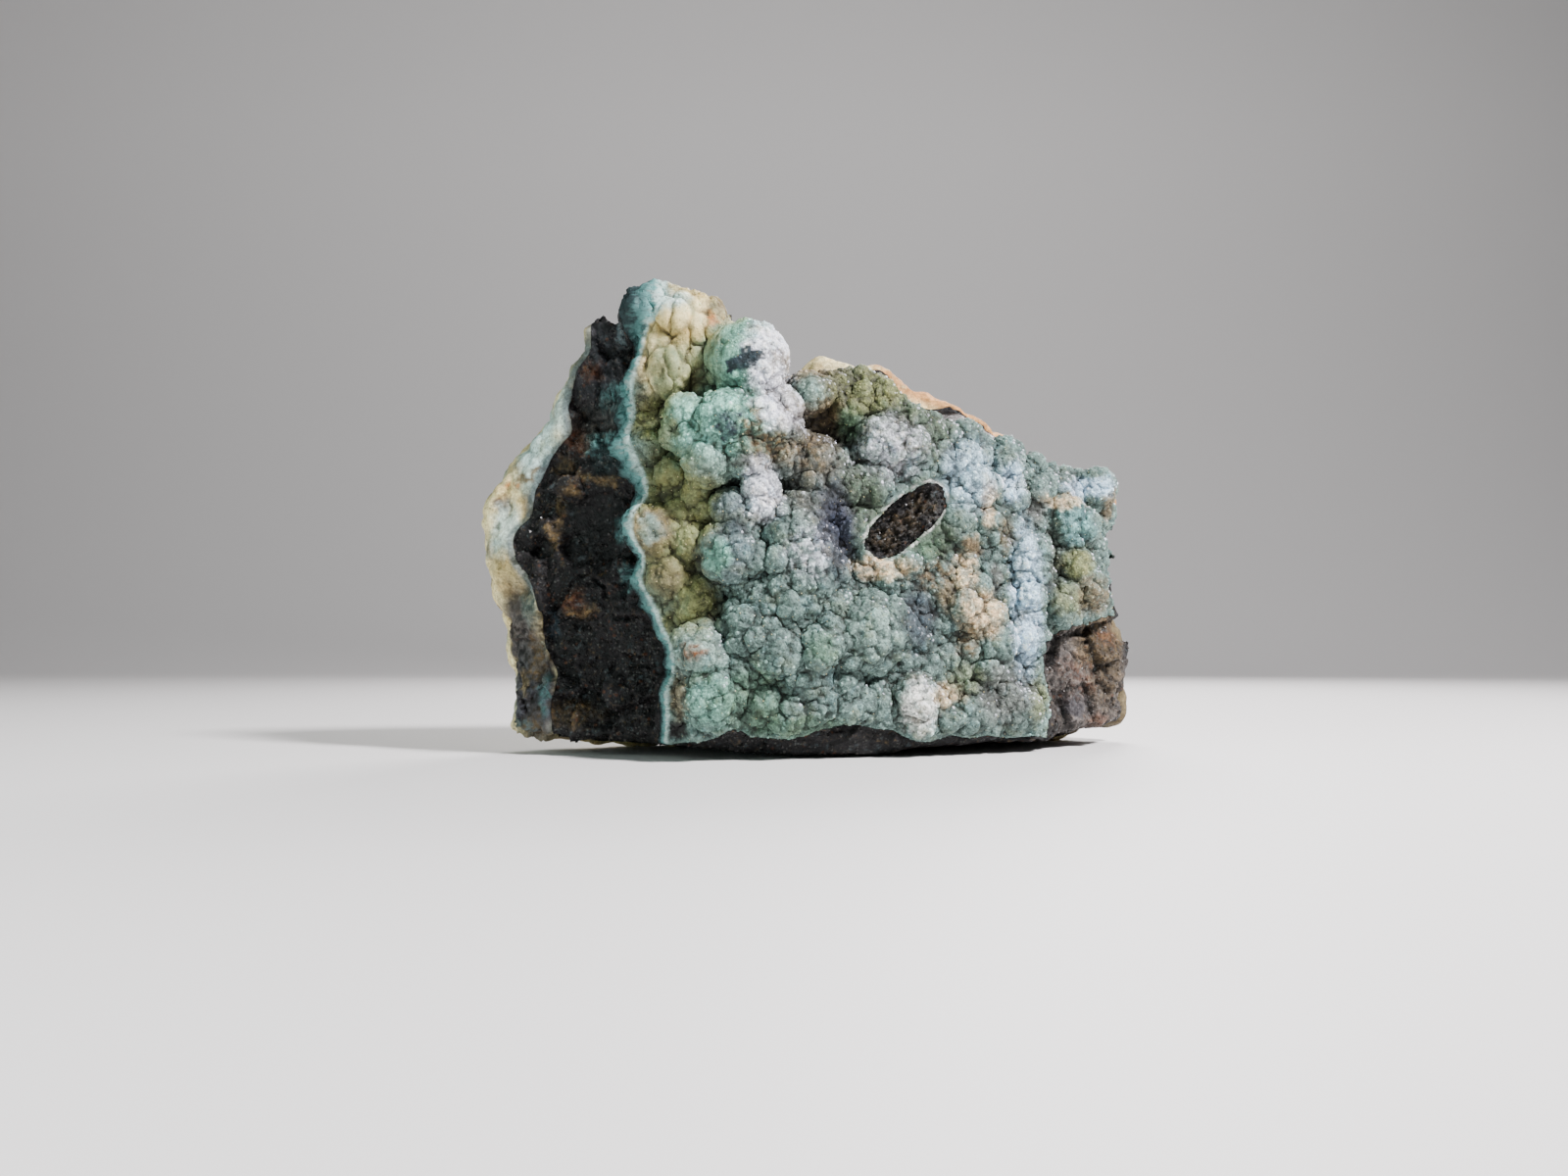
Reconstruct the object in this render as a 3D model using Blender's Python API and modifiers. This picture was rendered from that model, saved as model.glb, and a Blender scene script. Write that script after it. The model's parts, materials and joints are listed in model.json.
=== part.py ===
"""Kidwellite specimen: a chunk of dark goethite with a botryoidal crust on its front and a pale one behind.

Lengths in the constants are millimetres. In the design frame X runs to the right, Y away from
the viewer and Z up, with the ridge of the break near y = 0. The finished pieces are moved so
that the origin is the bottom centre of the whole specimen.
"""

import math

import bmesh
import bpy
import numpy as np
from mathutils import Matrix, Vector, noise

MM = 0.001
GAP = 0.36
SLIVER = 0.01
SPECIMEN = "kidwellite_specimen"

# Point from which the outline is sighted, in front of the ridge and above the base
EYE_DISTANCE = 138.0
EYE_HEIGHT = 11.6

# Outline of the specimen where the sight lines pass y = 0, as (x, z), clockwise
TOP_EDGE = [
    (-18.5, 39.8), (-18.3, 41.8), (-15.6, 42.4), (-15.0, 43.8), (-13.2, 45.2), (-9.5, 44.2),
    (-7.5, 43.2), (-5.4, 41.3), (-4.8, 40.3), (-2.3, 39.2), (0.3, 37.3), (3.2, 37.7),
    (8.8, 36.6), (10.9, 35.5), (12.9, 34.7), (15.6, 33.2), (18.1, 31.7), (19.6, 30.5),
    (21.7, 29.4), (24.0, 27.8), (26.3, 26.8), (28.4, 26.8), (30.0, 25.8),
]
RIGHT_EDGE = [
    (30.6, 24.2), (30.4, 22.5), (29.3, 21.0), (29.7, 18.6), (30.7, 13.4), (31.6, 9.9),
    (31.8, 8.3), (31.6, 5.1), (31.2, 4.0),
]
BASE_EDGE = [
    (28.0, 3.2), (24.4, 2.1), (20.4, 1.8), (12.9, 1.3), (9.2, 0.7), (0.0, 0.6), (-3.7, 0.9),
    (-11.0, 1.6), (-18.7, 2.2), (-23.5, 2.8), (-25.5, 3.0),
]
LEFT_EDGE = [
    (-25.3, 4.7), (-24.8, 7.5), (-25.5, 9.9), (-26.7, 14.6), (-27.0, 17.9), (-27.7, 20.6),
    (-28.2, 22.2), (-27.5, 23.8), (-25.9, 26.6), (-24.3, 29.4), (-21.4, 31.8), (-20.9, 34.6),
    (-20.1, 37.4),
]

# Depth of the front face and of the back, as (x, y)
FRONT_PLAN = [
    (-18.0, 1.2), (-11.0, 0.0), (-4.0, 0.2), (4.0, 1.2), (12.0, 3.4), (20.0, 7.2),
    (28.0, 12.2), (34.0, 17.0), (40.0, 23.0),
]
BACK_PLAN = [
    (-34.0, 8.5), (-30.0, 11.5), (-25.0, 16.5), (-10.0, 24.0), (5.0, 27.5), (20.0, 30.0),
    (32.0, 31.0), (38.0, 28.5), (42.0, 26.0),
]
FRONT_LEAN = 0.10
LEAN_HEIGHT = 20.0
FOOT_HEIGHT = 2.4
FOOT_SLOPE = 0.9
BACK_WAIST = 16.0
BACK_CURVE = 0.011
LEFT_EDGE_DEPTH = 8.0
LEAST_DEPTH = 1.0

# Ridge where the break meets the front face, as (z, x), and the break behind it
RIDGE = [
    (1.7, -11.1), (4.2, -10.9), (6.6, -10.9), (8.3, -10.3), (10.7, -10.5), (12.6, -11.5),
    (14.6, -12.3), (17.0, -13.5), (19.1, -13.2), (21.1, -14.1), (23.0, -14.1), (25.0, -13.1),
    (26.6, -13.2), (28.6, -14.1), (30.9, -14.9), (32.6, -14.4), (35.0, -14.5), (38.2, -13.7),
    (42.1, -12.9), (44.3, -12.7),
]
EDGE_DROP = 1.6
EDGE_WIDTH = 1.0
BREAK_SLOPE = 0.44
BREAK_DISHES = [
    (-17.5, 22.5, 3.2, 1.3), (-19.0, 8.5, 4.2, 1.0), (-18.6, 34.5, 2.2, 0.7),
    (-23.0, 14.5, 2.6, -0.9), (-21.5, 26.5, 2.4, -0.8), (-15.0, 13.0, 2.4, -0.6),
]

# Width of the broken crust edge beside the ridge, as (z, width)
EDGE_BAND = [
    (1.0, 0.7), (12.0, 0.9), (16.0, 1.3), (19.5, 0.9), (22.0, 1.1), (25.5, 1.3), (28.0, 2.4),
    (29.5, 2.6), (31.5, 1.2), (33.0, 1.3), (35.5, 1.7), (37.5, 0.8), (40.0, 0.9), (42.0, 2.2),
    (46.0, 2.6),
]
# Width of the back crust where the break crosses it at the left, as (z, width)
LEFT_BAND = [
    (0.0, 4.1), (5.0, 3.9), (12.0, 4.0), (16.5, 3.9), (18.9, 2.5), (21.3, 3.0), (23.3, 4.3),
    (25.7, 3.4), (30.0, 2.8), (33.0, 1.2), (36.0, 0.8), (46.0, 0.7),
]
# Lower edge of the front crust above the bare foot of the rock, as (x, z)
CRUST_FOOT = [
    (-14.0, 1.7), (-6.0, 2.4), (-4.9, 2.9), (-3.7, 2.5), (2.3, 2.5), (3.5, 3.0), (7.4, 3.2),
    (9.0, 2.8), (11.8, 1.9), (13.0, 1.5), (15.5, 2.0), (19.0, 1.8), (24.0, 1.6), (45.0, 1.6),
]
CRUST_THICKNESS = 1.5
BACK_CRUST_THICKNESS = 2.6
# Waves of the two contacts, as (height, turn per millimetre across, turn per millimetre up)
FRONT_WAVES = (0.25, 0.7, 0.4)
BACK_WAVES = (0.4, 0.45, -0.3)

# Patch at the lower right where the front crust is broken away, as (x, z)
BARE_PATCH = [
    (26.3, 10.7), (27.5, 11.6), (29.4, 12.4), (31.8, 12.9), (34.8, 13.7), (52.0, 16.0),
    (52.0, -6.0), (26.8, -6.0), (26.8, 1.5), (27.1, 4.5), (26.5, 8.0),
]
PATCH_DEPTH = 1.5

# Oval mouth of rock in the front crust
OVAL_CENTRE = (11.8, 22.8)
OVAL_HALF_LENGTH = 4.9
OVAL_HALF_WIDTH = 2.1
OVAL_TILT = math.radians(41.0)
OVAL_DEPTH = 1.2

# Hollows between the swellings of the front crust, as (x, z, radius, depth)
HOLLOWS = [
    (4.7, 31.6, 2.4, 2.2), (-11.9, 30.0, 2.6, 1.2), (5.8, 20.0, 2.2, 1.2), (4.6, 16.4, 1.7, 0.8),
    (9.8, 7.7, 1.7, 1.0), (6.7, 7.7, 1.1, 1.2), (26.7, 18.6, 1.1, 1.0), (21.6, 9.5, 1.0, 1.0),
    (-5.3, 14.8, 1.3, 0.8), (-4.4, 7.0, 1.3, 0.8), (1.9, 31.7, 1.3, 1.4), (15.2, 10.6, 1.1, 0.7),
]

# Nodules of the front crust, as (x, z, radius, height of the centre above the face)
GREAT_BALL = [(-3.3, 37.7, 3.6, 1.8), (-3.1, 35.1, 1.3, 3.2), (-3.4, 36.0, 2.6, 0.2)]
RASPBERRY = [
    (-5.3, 31.7, 2.7, 3.4), (-2.4, 31.6, 2.5, 3.0), (-9.1, 32.5, 1.8, 2.2), (-10.6, 30.4, 1.0, 2.0),
    (-8.5, 30.0, 1.5, 2.8), (-7.1, 27.8, 2.2, 2.6), (-3.6, 28.7, 2.2, 2.8), (-0.4, 33.1, 1.9, 2.2),
    (0.1, 31.0, 1.6, 2.2), (-0.2, 28.7, 1.9, 1.4), (-4.2, 30.6, 3.4, 1.0), (-8.6, 30.6, 2.2, 0.8),
]
LEFT_COLUMN = [
    (-8.4, 25.2, 1.2, 0.6), (-7.6, 23.4, 0.8, 0.6), (-9.8, 23.4, 1.0, 0.5), (-12.3, 21.5, 2.3, 0.2),
    (-10.7, 17.3, 1.8, 0.0), (-9.1, 20.5, 1.7, 0.0), (-8.6, 15.1, 1.9, -0.4), (-10.7, 27.1, 1.3, 0.0),
    (-13.0, 30.0, 1.1, -0.3),
]
RUST_BULB = [
    (-8.0, 10.0, 2.4, 1.0), (-6.9, 6.2, 2.7, 1.0), (-4.9, 4.3, 1.3, 0.4), (-5.7, 3.2, 0.9, 0.3),
]
GREY_COLUMN = [
    (-2.1, 25.7, 1.5, 2.0), (-2.2, 23.8, 1.5, 1.8), (-4.9, 23.6, 1.5, 1.0), (-4.9, 19.4, 2.6, 1.2),
    (-3.3, 18.9, 1.4, 2.2), (-0.9, 23.7, 1.2, 1.2), (-3.9, 21.7, 1.6, 1.2),
]
RUGGED_MASS = [
    (2.4, 28.6, 2.1, 0.9), (4.6, 26.5, 1.9, 0.5), (2.4, 24.6, 1.7, 0.6), (0.6, 21.7, 2.5, 1.0),
    (1.4, 18.2, 2.8, 1.1), (-0.8, 18.8, 0.8, 2.4), (0.3, 15.5, 2.8, 0.9), (-2.3, 15.8, 2.0, 0.2),
    (3.0, 15.8, 1.8, 0.6),
]
LOWER_MASS = [
    (-2.9, 12.5, 2.7, 0.8), (-0.8, 10.3, 2.3, 1.8), (3.2, 10.5, 1.8, 2.2), (4.0, 11.2, 2.3, 1.2),
    (-3.9, 8.5, 2.4, 0.2), (7.9, 12.0, 2.9, 1.2), (9.9, 12.5, 2.2, 1.2), (6.7, 10.1, 1.8, 1.2),
    (4.6, 13.9, 1.6, 0.4), (1.8, 8.1, 2.0, 0.9),
]
BOTTOM_ROW = [
    (-2.2, 5.5, 1.9, 0.2), (0.6, 4.2, 1.6, 0.6), (3.3, 5.0, 1.5, 0.6), (4.3, 6.6, 1.5, 0.4),
    (5.8, 6.9, 1.6, 0.5), (6.1, 5.0, 1.4, 0.6), (8.4, 6.3, 1.2, 0.2), (8.7, 4.7, 1.2, 0.3),
    (12.7, 5.6, 2.1, 0.3), (13.3, 2.9, 1.0, 0.4), (15.8, 3.7, 1.3, 0.2), (18.2, 4.3, 1.4, 0.2),
    (20.5, 3.7, 1.4, 0.2), (23.5, 4.5, 1.9, 0.2),
]
UPPER_RIGHT = [
    (2.6, 34.7, 1.7, 0.8), (4.8, 35.4, 1.1, 0.2), (7.6, 34.6, 1.0, 0.6), (9.5, 35.0, 1.5, 0.2),
    (9.8, 33.6, 1.5, 0.2), (6.4, 33.6, 1.4, 0.0), (9.4, 30.4, 2.4, 0.4), (11.9, 30.1, 2.3, 0.4),
    (12.5, 32.3, 1.6, 0.2), (14.4, 31.6, 1.4, 0.4), (17.4, 29.3, 1.4, 0.4), (15.3, 28.6, 1.3, 0.4),
    (17.9, 27.0, 1.3, 0.5), (19.9, 26.1, 1.4, 0.6), (20.3, 22.4, 1.4, 0.6), (17.9, 23.9, 1.4, 0.4),
]
OVAL_SHOULDERS = [
    (8.4, 25.7, 1.9, 0.0), (6.7, 21.8, 1.7, 0.0), (12.9, 27.0, 1.3, 0.0), (11.8, 18.4, 1.2, 0.3),
    (9.8, 17.2, 1.3, 0.0), (16.3, 21.9, 1.4, 0.1),
]
RIGHT_RIDGES = [
    (23.0, 28.3, 1.5, 0.4), (23.0, 25.3, 1.5, 0.5), (26.1, 26.5, 1.5, 0.2), (24.5, 20.2, 1.7, 0.6),
    (24.8, 17.3, 1.7, 0.8), (24.7, 14.3, 1.7, 0.8), (24.4, 11.6, 1.6, 0.6), (20.5, 11.8, 1.4, 0.6),
    (20.5, 8.7, 1.4, 0.7), (18.4, 16.4, 1.7, 0.3), (19.3, 13.5, 1.8, 0.4), (16.6, 14.5, 1.5, 0.2),
]
RIGHT_END = [
    (29.2, 23.5, 2.3, 0.2), (29.2, 18.8, 2.2, 0.1), (28.0, 15.4, 2.1, 0.2), (32.1, 16.7, 1.8, 0.2),
    (32.0, 27.2, 2.0, 0.6), (33.4, 25.2, 1.1, 0.4),
]
NODULES = (
    GREAT_BALL + RASPBERRY + LEFT_COLUMN + RUST_BULB + GREY_COLUMN + RUGGED_MASS + LOWER_MASS
    + BOTTOM_ROW + UPPER_RIGHT + OVAL_SHOULDERS + RIGHT_RIDGES + RIGHT_END
)
# Smooth lobes under the apex, as (x, z, half width, half height, lean in degrees, height above the face)
LOBES = [
    (-9.4, 41.2, 4.1, 3.4, 20, -1.2), (-10.4, 37.4, 1.7, 2.8, 12, 0.6), (-12.1, 36.3, 1.3, 2.2, 5, 0.3),
    (-13.5, 37.8, 1.0, 2.6, -5, 0.0), (-7.3, 38.9, 1.9, 2.2, 0, -0.6),
]

# Top of the rock: how far it has fallen away at FALL_DEPTH behind the apex, as (x, fall), how far
# it and the front crust lie below the rim of the back crust, as (x, step), and how much deeper the
# rock dips between the two crusts, as (x, dip)
TOP_FALL = [(-24.0, 12.5), (-20.0, 11.4), (-12.0, 9.8), (-4.0, 3.4), (3.7, 0.0), (45.0, 0.0)]
FALL_START = 3.0
FALL_DEPTH = 20.0
RIM_STEPS = [
    (-3.0, 0.0), (-0.5, 1.1), (5.0, 1.1), (7.5, 0.4), (9.5, 0.4), (11.5, 1.8), (20.0, 1.8), (26.0, 0.0),
]
RIM_EASE = 0.8
RIM_ROUNDS = 3
ROCK_DIP = [(-4.0, 0.0), (-1.0, 1.7), (18.0, 1.7), (22.0, 0.4), (26.0, 0.0)]
ROCK_DIP_START = 0.4
ROCK_DIP_FULL = 3.0

# Surface: relief of the crusts and of the broken rock, and the size of the facets
VOXEL = 0.55
BUD_SIZE = 2.6
BUD_HEIGHT = 0.35
BACK_BUD_SIZE = 5.5
BACK_BUD_HEIGHT = 1.3
BACK_BUD_MIDDLE = 0.6
ROCK_SIZE = 5.0
ROCK_HEIGHT = 1.1
ROCK_DECAY = 0.9
ROCK_LACUNARITY = 2.1
ROCK_OCTAVES = 3
TRIANGLES = 5600

# Colour, roughness and metallic value of each piece
FINISHES = {
    "goethite_matrix": ((0.035, 0.024, 0.018), 0.72, 0.0),
    "kidwellite_crust": ((0.36, 0.42, 0.36), 0.86, 0.0),
    "back_crust": ((0.60, 0.53, 0.40), 0.88, 0.0),
}

# Room around the specimen that the blocks reach into
NEAR = -14.0
FAR = 46.0
LEFT = -36.0
RIGHT = 42.0
LOW = -2.0
HIGH = 49.0
FRONT_ROOM_LEFT = -12.0
BACK_ROOM_LEFT = -40.0
BACK_ROOM_LOW = -3.0
ROOM_RIGHT = 46.0
REACH = 52.0
SKY = 62.0
STEP_WIDTH = 0.1
OUTLINE_MARGIN = 2.0
FLOOR_OUTLINE = [(-50, -9), (50, -9), (50, 0), (-50, 0)]

# Faces of the blocks across and up, and round the oval
BODY_GRID = (104, 68)
SKY_GRID = (60, 40)
RIM_ROW = 30
FRONT_GRID = (14, 20)
BACK_GRID = (13, 12)
OVAL_CORNERS = 28
BORDER = 0.001


def clear_scene():
    """Remove whatever the file opened with."""
    for obj in list(bpy.data.objects):
        bpy.data.objects.remove(obj, do_unlink=True)


def make_collection(name):
    """Make a collection in the scene."""
    collection = bpy.data.collections.new(name)
    bpy.context.scene.collection.children.link(collection)
    return collection


def smooth_line(knots, at):
    """Read a smooth line through (position, value) knots."""
    line = np.array(knots, dtype=float)
    place, value = line[:, 0], line[:, 1]
    slope = np.gradient(value, place)
    at = np.clip(at, place[0], place[-1])
    left = np.clip(np.searchsorted(place, at) - 1, 0, len(place) - 2)
    width = place[left + 1] - place[left]
    t = (at - place[left]) / width
    rise = (2 * t**3 - 3 * t**2 + 1) * value[left] + (3 * t**2 - 2 * t**3) * value[left + 1]
    return rise + width * ((t**3 - 2 * t**2 + t) * slope[left] + (t**3 - t**2) * slope[left + 1])


def ramp(value, low, high):
    """Rise smoothly from 0 at low to 1 at high."""
    t = np.clip((value - low) / (high - low), 0.0, 1.0)
    return t * t * (3 - 2 * t)


def sighted(x, z, y):
    """Carry a point of the y = 0 outline along its sight line to depth y."""
    grow = (EYE_DISTANCE + y) / EYE_DISTANCE
    return x * grow, EYE_HEIGHT + (z - EYE_HEIGHT) * grow


def in_outline(x, z, outline):
    """Tell which points lie inside a closed outline."""
    inside = np.zeros(np.shape(x), dtype=bool)
    for (x0, z0), (x1, z1) in zip(outline, outline[1:] + outline[:1]):
        crosses = (z0 > z) != (z1 > z)
        inside ^= crosses & (x < x0 + (x1 - x0) * (z - z0) / (z1 - z0 + 1e-9))
    return inside


def front_face(x, z):
    """Depth of the front face before its nodules grow on it."""
    depth = smooth_line(FRONT_PLAN, x) + FRONT_LEAN * np.maximum(0.0, z - LEAN_HEIGHT)
    return depth + FOOT_SLOPE * np.maximum(0.0, FOOT_HEIGHT - z)


def break_face(x, z):
    """Depth of the broken face left of the ridge."""
    ridge = smooth_line(RIDGE, z)
    away = ridge - x
    depth = front_face(ridge, z) + EDGE_DROP * np.clip(away / EDGE_WIDTH, 0.0, 1.0)
    return depth + BREAK_SLOPE * np.maximum(0.0, away - EDGE_WIDTH) + dents(x, z, BREAK_DISHES)


def dents(x, z, places):
    """Depth of rounded dents, each given as (x, z, radius, depth)."""
    total = 0.0
    for centre_x, centre_z, radius, depth in places:
        total = total + depth * np.exp(-((x - centre_x) ** 2 + (z - centre_z) ** 2) / radius**2)
    return total


def near_face(x, z):
    """Depth of the whole near side: break, front face, hollows and bare patch."""
    face = front_face(x, z) + dents(x, z, HOLLOWS) + PATCH_DEPTH * in_outline(x, z, BARE_PATCH)
    return np.where(x < smooth_line(RIDGE, z), break_face(x, z), face)


def far_face(x, z):
    """Depth of the back."""
    return smooth_line(BACK_PLAN, x) - BACK_CURVE * (z - BACK_WAIST) ** 2


def waves(x, z, shape):
    """Low waves of a contact, given as (height, turn across, turn up)."""
    height, across, up = shape
    return height * np.sin(across * x + up * z)


def crust_contact(x, z):
    """Depth where the front crust meets the rock."""
    return front_face(x, z) + dents(x, z, HOLLOWS) + CRUST_THICKNESS + waves(x, z, FRONT_WAVES)


def back_contact(x, z):
    """Depth where the back crust meets the rock."""
    return far_face(x, z) - BACK_CRUST_THICKNESS - waves(x, z, BACK_WAVES)


def left_edge(z):
    """Place of the left outline at height z, at the depth where the break reaches it."""
    edge = [(height, place) for place, height in LEFT_EDGE + TOP_EDGE[:1]]
    return smooth_line(edge, z) * (EYE_DISTANCE + LEFT_EDGE_DEPTH) / EYE_DISTANCE


def sloping_top(x, y):
    """Height of the top at a place in plan, before the rock is lowered below the rim."""
    grow = (EYE_DISTANCE + y) / EYE_DISTANCE
    line = EYE_HEIGHT + (smooth_line(sorted(TOP_EDGE), x / grow) - EYE_HEIGHT) * grow
    behind = np.maximum(0.0, y - FALL_START) / (FALL_DEPTH - FALL_START)
    return line - smooth_line(TOP_FALL, x) * behind


def rim_place(x):
    """Depth at which the rim of the back crust rises from the top of the rock."""
    place = far_face(x, BACK_WAIST)
    for _ in range(RIM_ROUNDS):
        place = back_contact(x, sloping_top(x, place) - smooth_line(RIM_STEPS, x))
    return place


def top_height(x, y):
    """Height of the top at a place in plan."""
    top = sloping_top(x, y)
    lowered = 1.0 - ramp(y - rim_place(x), 0.0, RIM_EASE)
    behind_crust = ramp(y - crust_contact(x, top), ROCK_DIP_START, ROCK_DIP_FULL)
    return top - (smooth_line(RIM_STEPS, x) + smooth_line(ROCK_DIP, x) * behind_crust) * lowered


def slab(name, collection, columns, rows, place):
    """Close a block between two surfaces over one grid.

    place takes grid coordinates from 0 to 1 and returns the near and far points in millimetres.
    """
    bm = bmesh.new()
    bmesh.ops.create_grid(bm, x_segments=columns, y_segments=rows, size=0.5)
    lifted = bmesh.ops.extrude_face_region(bm, geom=list(bm.faces), use_keep_orig=True)
    far_verts = [part for part in lifted["geom"] if isinstance(part, bmesh.types.BMVert)]
    far = np.zeros(len(bm.verts), dtype=bool)
    bm.verts.index_update()
    far[[vert.index for vert in far_verts]] = True
    grid = np.array([vert.co[:] for vert in bm.verts]) + 0.5
    near_points, far_points = place(grid[:, 0], grid[:, 1])
    points = np.where(far[:, None], np.stack(far_points, axis=1), np.stack(near_points, axis=1))
    for vert, point in zip(bm.verts, points):
        vert.co = Vector(point) * MM
    bmesh.ops.triangulate(bm, faces=bm.faces, quad_method="FIXED")
    return finish_mesh(name, collection, bm)


def finish_mesh(name, collection, bm):
    """Turn a closed bmesh, its faces pointing out, into an object of a collection."""
    bmesh.ops.recalc_face_normals(bm, faces=list(bm.faces))
    if bm.calc_volume(signed=True) < 0.0:
        bmesh.ops.reverse_faces(bm, faces=list(bm.faces))
    mesh = bpy.data.meshes.new(name)
    bm.to_mesh(mesh)
    bm.free()
    obj = bpy.data.objects.new(name, mesh)
    collection.objects.link(obj)
    return obj


def outline_block(name, collection, outline, sight=True):
    """Extrude a flat outline past NEAR and FAR, along the sight lines if asked."""
    curve = bpy.data.curves.new(name, "CURVE")
    curve.dimensions = "2D"
    curve.fill_mode = "BOTH"
    curve.extrude = 0.5
    line = curve.splines.new("POLY")
    line.points.add(len(outline) - 1)
    for point, (x, z) in zip(line.points, outline):
        point.co = (x, z, 0.0, 1.0)
    line.use_cyclic_u = True
    holder = bpy.data.objects.new(name, curve)
    collection.objects.link(holder)
    flat = bpy.data.meshes.new_from_object(holder.evaluated_get(bpy.context.evaluated_depsgraph_get()))
    bpy.data.objects.remove(holder, do_unlink=True)
    bm = bmesh.new()
    bm.from_mesh(flat)
    bmesh.ops.remove_doubles(bm, verts=bm.verts, dist=0.01)
    for vert in bm.verts:
        x, z, side = vert.co
        depth = NEAR - OUTLINE_MARGIN if side < 0.0 else FAR + OUTLINE_MARGIN
        if sight:
            x, z = sighted(x, z, depth)
        vert.co = Vector((x, depth, z)) * MM
    return finish_mesh(name, collection, bm)


def settle(obj):
    """Replace an object's mesh by what its modifiers make of it."""
    mesh = bpy.data.meshes.new_from_object(obj.evaluated_get(bpy.context.evaluated_depsgraph_get()))
    obj.modifiers.clear()
    obj.data = mesh
    return obj


def boolean(obj, cutter, operation):
    """Cut or join an object with another one."""
    step = obj.modifiers.new(operation.lower(), "BOOLEAN")
    step.operation = operation
    step.solver = "EXACT"
    step.object = cutter
    return settle(obj)


def duplicate(obj, name, collection):
    """Copy an object with its mesh."""
    twin = obj.copy()
    twin.data = obj.data.copy()
    twin.name = name
    collection.objects.link(twin)
    return twin


def add_nodule(bm, centre, sizes, lean=0.0):
    """Add one rounded nodule to a bmesh."""
    matrix = Matrix.Translation(Vector(centre) * MM) @ Matrix.Rotation(math.radians(lean), 4, "Y")
    matrix = matrix @ Matrix.Diagonal(Vector(sizes) * MM).to_4x4()
    bmesh.ops.create_icosphere(bm, subdivisions=3, radius=1.0, matrix=matrix)


def make_nodules(collection):
    """Make all nodules and lobes of the front crust in one object."""
    bm = bmesh.new()
    for x, z, radius, height in NODULES:
        add_nodule(bm, (x, float(front_face(x, z)) - height, z), (radius, radius, radius))
    for x, z, half_width, half_height, lean, height in LOBES:
        depth = float(front_face(x, z)) - height
        add_nodule(bm, (x, depth, z), (half_width, half_width, half_height), lean)
    return finish_mesh("nodules", collection, bm)


def rough_block(cutters):
    """Block between the near and far faces, trimmed to the outline and to the top."""

    def between(u, v):
        x = LEFT + (RIGHT - LEFT) * u
        z = LOW + (HIGH - LOW) * v
        near = near_face(x, z)
        return (x, near, z), (x, np.maximum(far_face(x, z), near + LEAST_DEPTH), z)

    def above(u, v):
        x = LEFT + (RIGHT - LEFT) * u
        row = np.rint(v * SKY_GRID[1])
        rim = rim_place(x)
        before = NEAR + (rim - NEAR) * row / RIM_ROW
        after = rim + RIM_EASE
        after = after + (FAR - after) * (row - RIM_ROW - 1) / (SKY_GRID[1] - RIM_ROW - 1)
        y = np.where(row <= RIM_ROW, before, after)
        return (x, y, top_height(x, y)), (x, y, np.full_like(x, SKY))

    block = slab("rough_block", cutters, *BODY_GRID, between)
    sight = outline_block("sight_outline", cutters, TOP_EDGE + RIGHT_EDGE + BASE_EDGE + LEFT_EDGE)
    boolean(block, sight, "INTERSECT")
    return boolean(block, slab("sky", cutters, *SKY_GRID, above), "DIFFERENCE")


def oval_block(name, cutters, shrink, depth_from, depth_to):
    """Oval column through the front crust, smaller by shrink on every side."""
    bm = bmesh.new()
    bmesh.ops.create_cone(bm, cap_ends=True, segments=OVAL_CORNERS, radius1=1.0, radius2=1.0, depth=1.0)
    length, width = OVAL_HALF_LENGTH - shrink, OVAL_HALF_WIDTH - shrink
    stand = Matrix.Rotation(math.radians(90.0), 4, "X")
    size = Matrix.Diagonal((length, depth_to - depth_from, width, 1.0))
    tilt = Matrix.Rotation(-OVAL_TILT, 4, "Y")
    place = Matrix.Translation((OVAL_CENTRE[0], (depth_from + depth_to) / 2, OVAL_CENTRE[1]))
    bmesh.ops.transform(bm, matrix=Matrix.Scale(MM, 4) @ place @ tilt @ size @ stand, verts=bm.verts)
    return finish_mesh(name, cutters, bm)


def front_block(name, cutters, grow):
    """Room of the front crust: ahead of its contact, right of the ridge, above the bare foot.

    grow moves its left, lower and far sides outwards.
    """

    def ahead(u, v):
        low = smooth_line(CRUST_FOOT, FRONT_ROOM_LEFT + (ROOM_RIGHT - FRONT_ROOM_LEFT) * u)
        z = low + (REACH - low) * v
        edge = smooth_line(RIDGE, z) - smooth_line(EDGE_BAND, z)
        x = edge + (ROOM_RIGHT - edge) * u
        depth = crust_contact(x, z) + grow
        x = x - grow * (u < BORDER)
        z = z - grow * (v < BORDER)
        return (x, np.full_like(x, NEAR), z), (x, depth, z)

    block = slab(name, cutters, *FRONT_GRID, ahead)
    patch_outline = [(x + grow, z - grow) for x, z in BARE_PATCH]
    patch = outline_block("bare_patch", cutters, patch_outline, sight=False)
    boolean(block, patch, "DIFFERENCE")
    oval = oval_block("oval_column", cutters, grow, NEAR - OUTLINE_MARGIN, FAR)
    return boolean(block, oval, "DIFFERENCE")


def back_block(name, cutters, grow):
    """Room of the back crust: behind its contact, and all of the strip along the left edge.

    grow moves its near and right sides outwards.
    """
    columns, rows = BACK_GRID

    def behind(u, v):
        z = BACK_ROOM_LOW + (REACH - BACK_ROOM_LOW) * v
        column = np.rint(u * columns)
        edge = left_edge(z) + smooth_line(LEFT_BAND, z)
        x = np.where(column == 0, BACK_ROOM_LEFT, edge - STEP_WIDTH)
        x = np.where(column > 1, edge + (ROOM_RIGHT - edge) * (column - 2) / (columns - 2), x)
        near = np.where(column > 1, back_contact(x, z) - grow, NEAR)
        x = x + grow * ((column == 1) | (column == 2))
        return (x, near, z), (x, np.full_like(x, FAR), z)

    return slab(name, cutters, columns, rows, behind)


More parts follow.
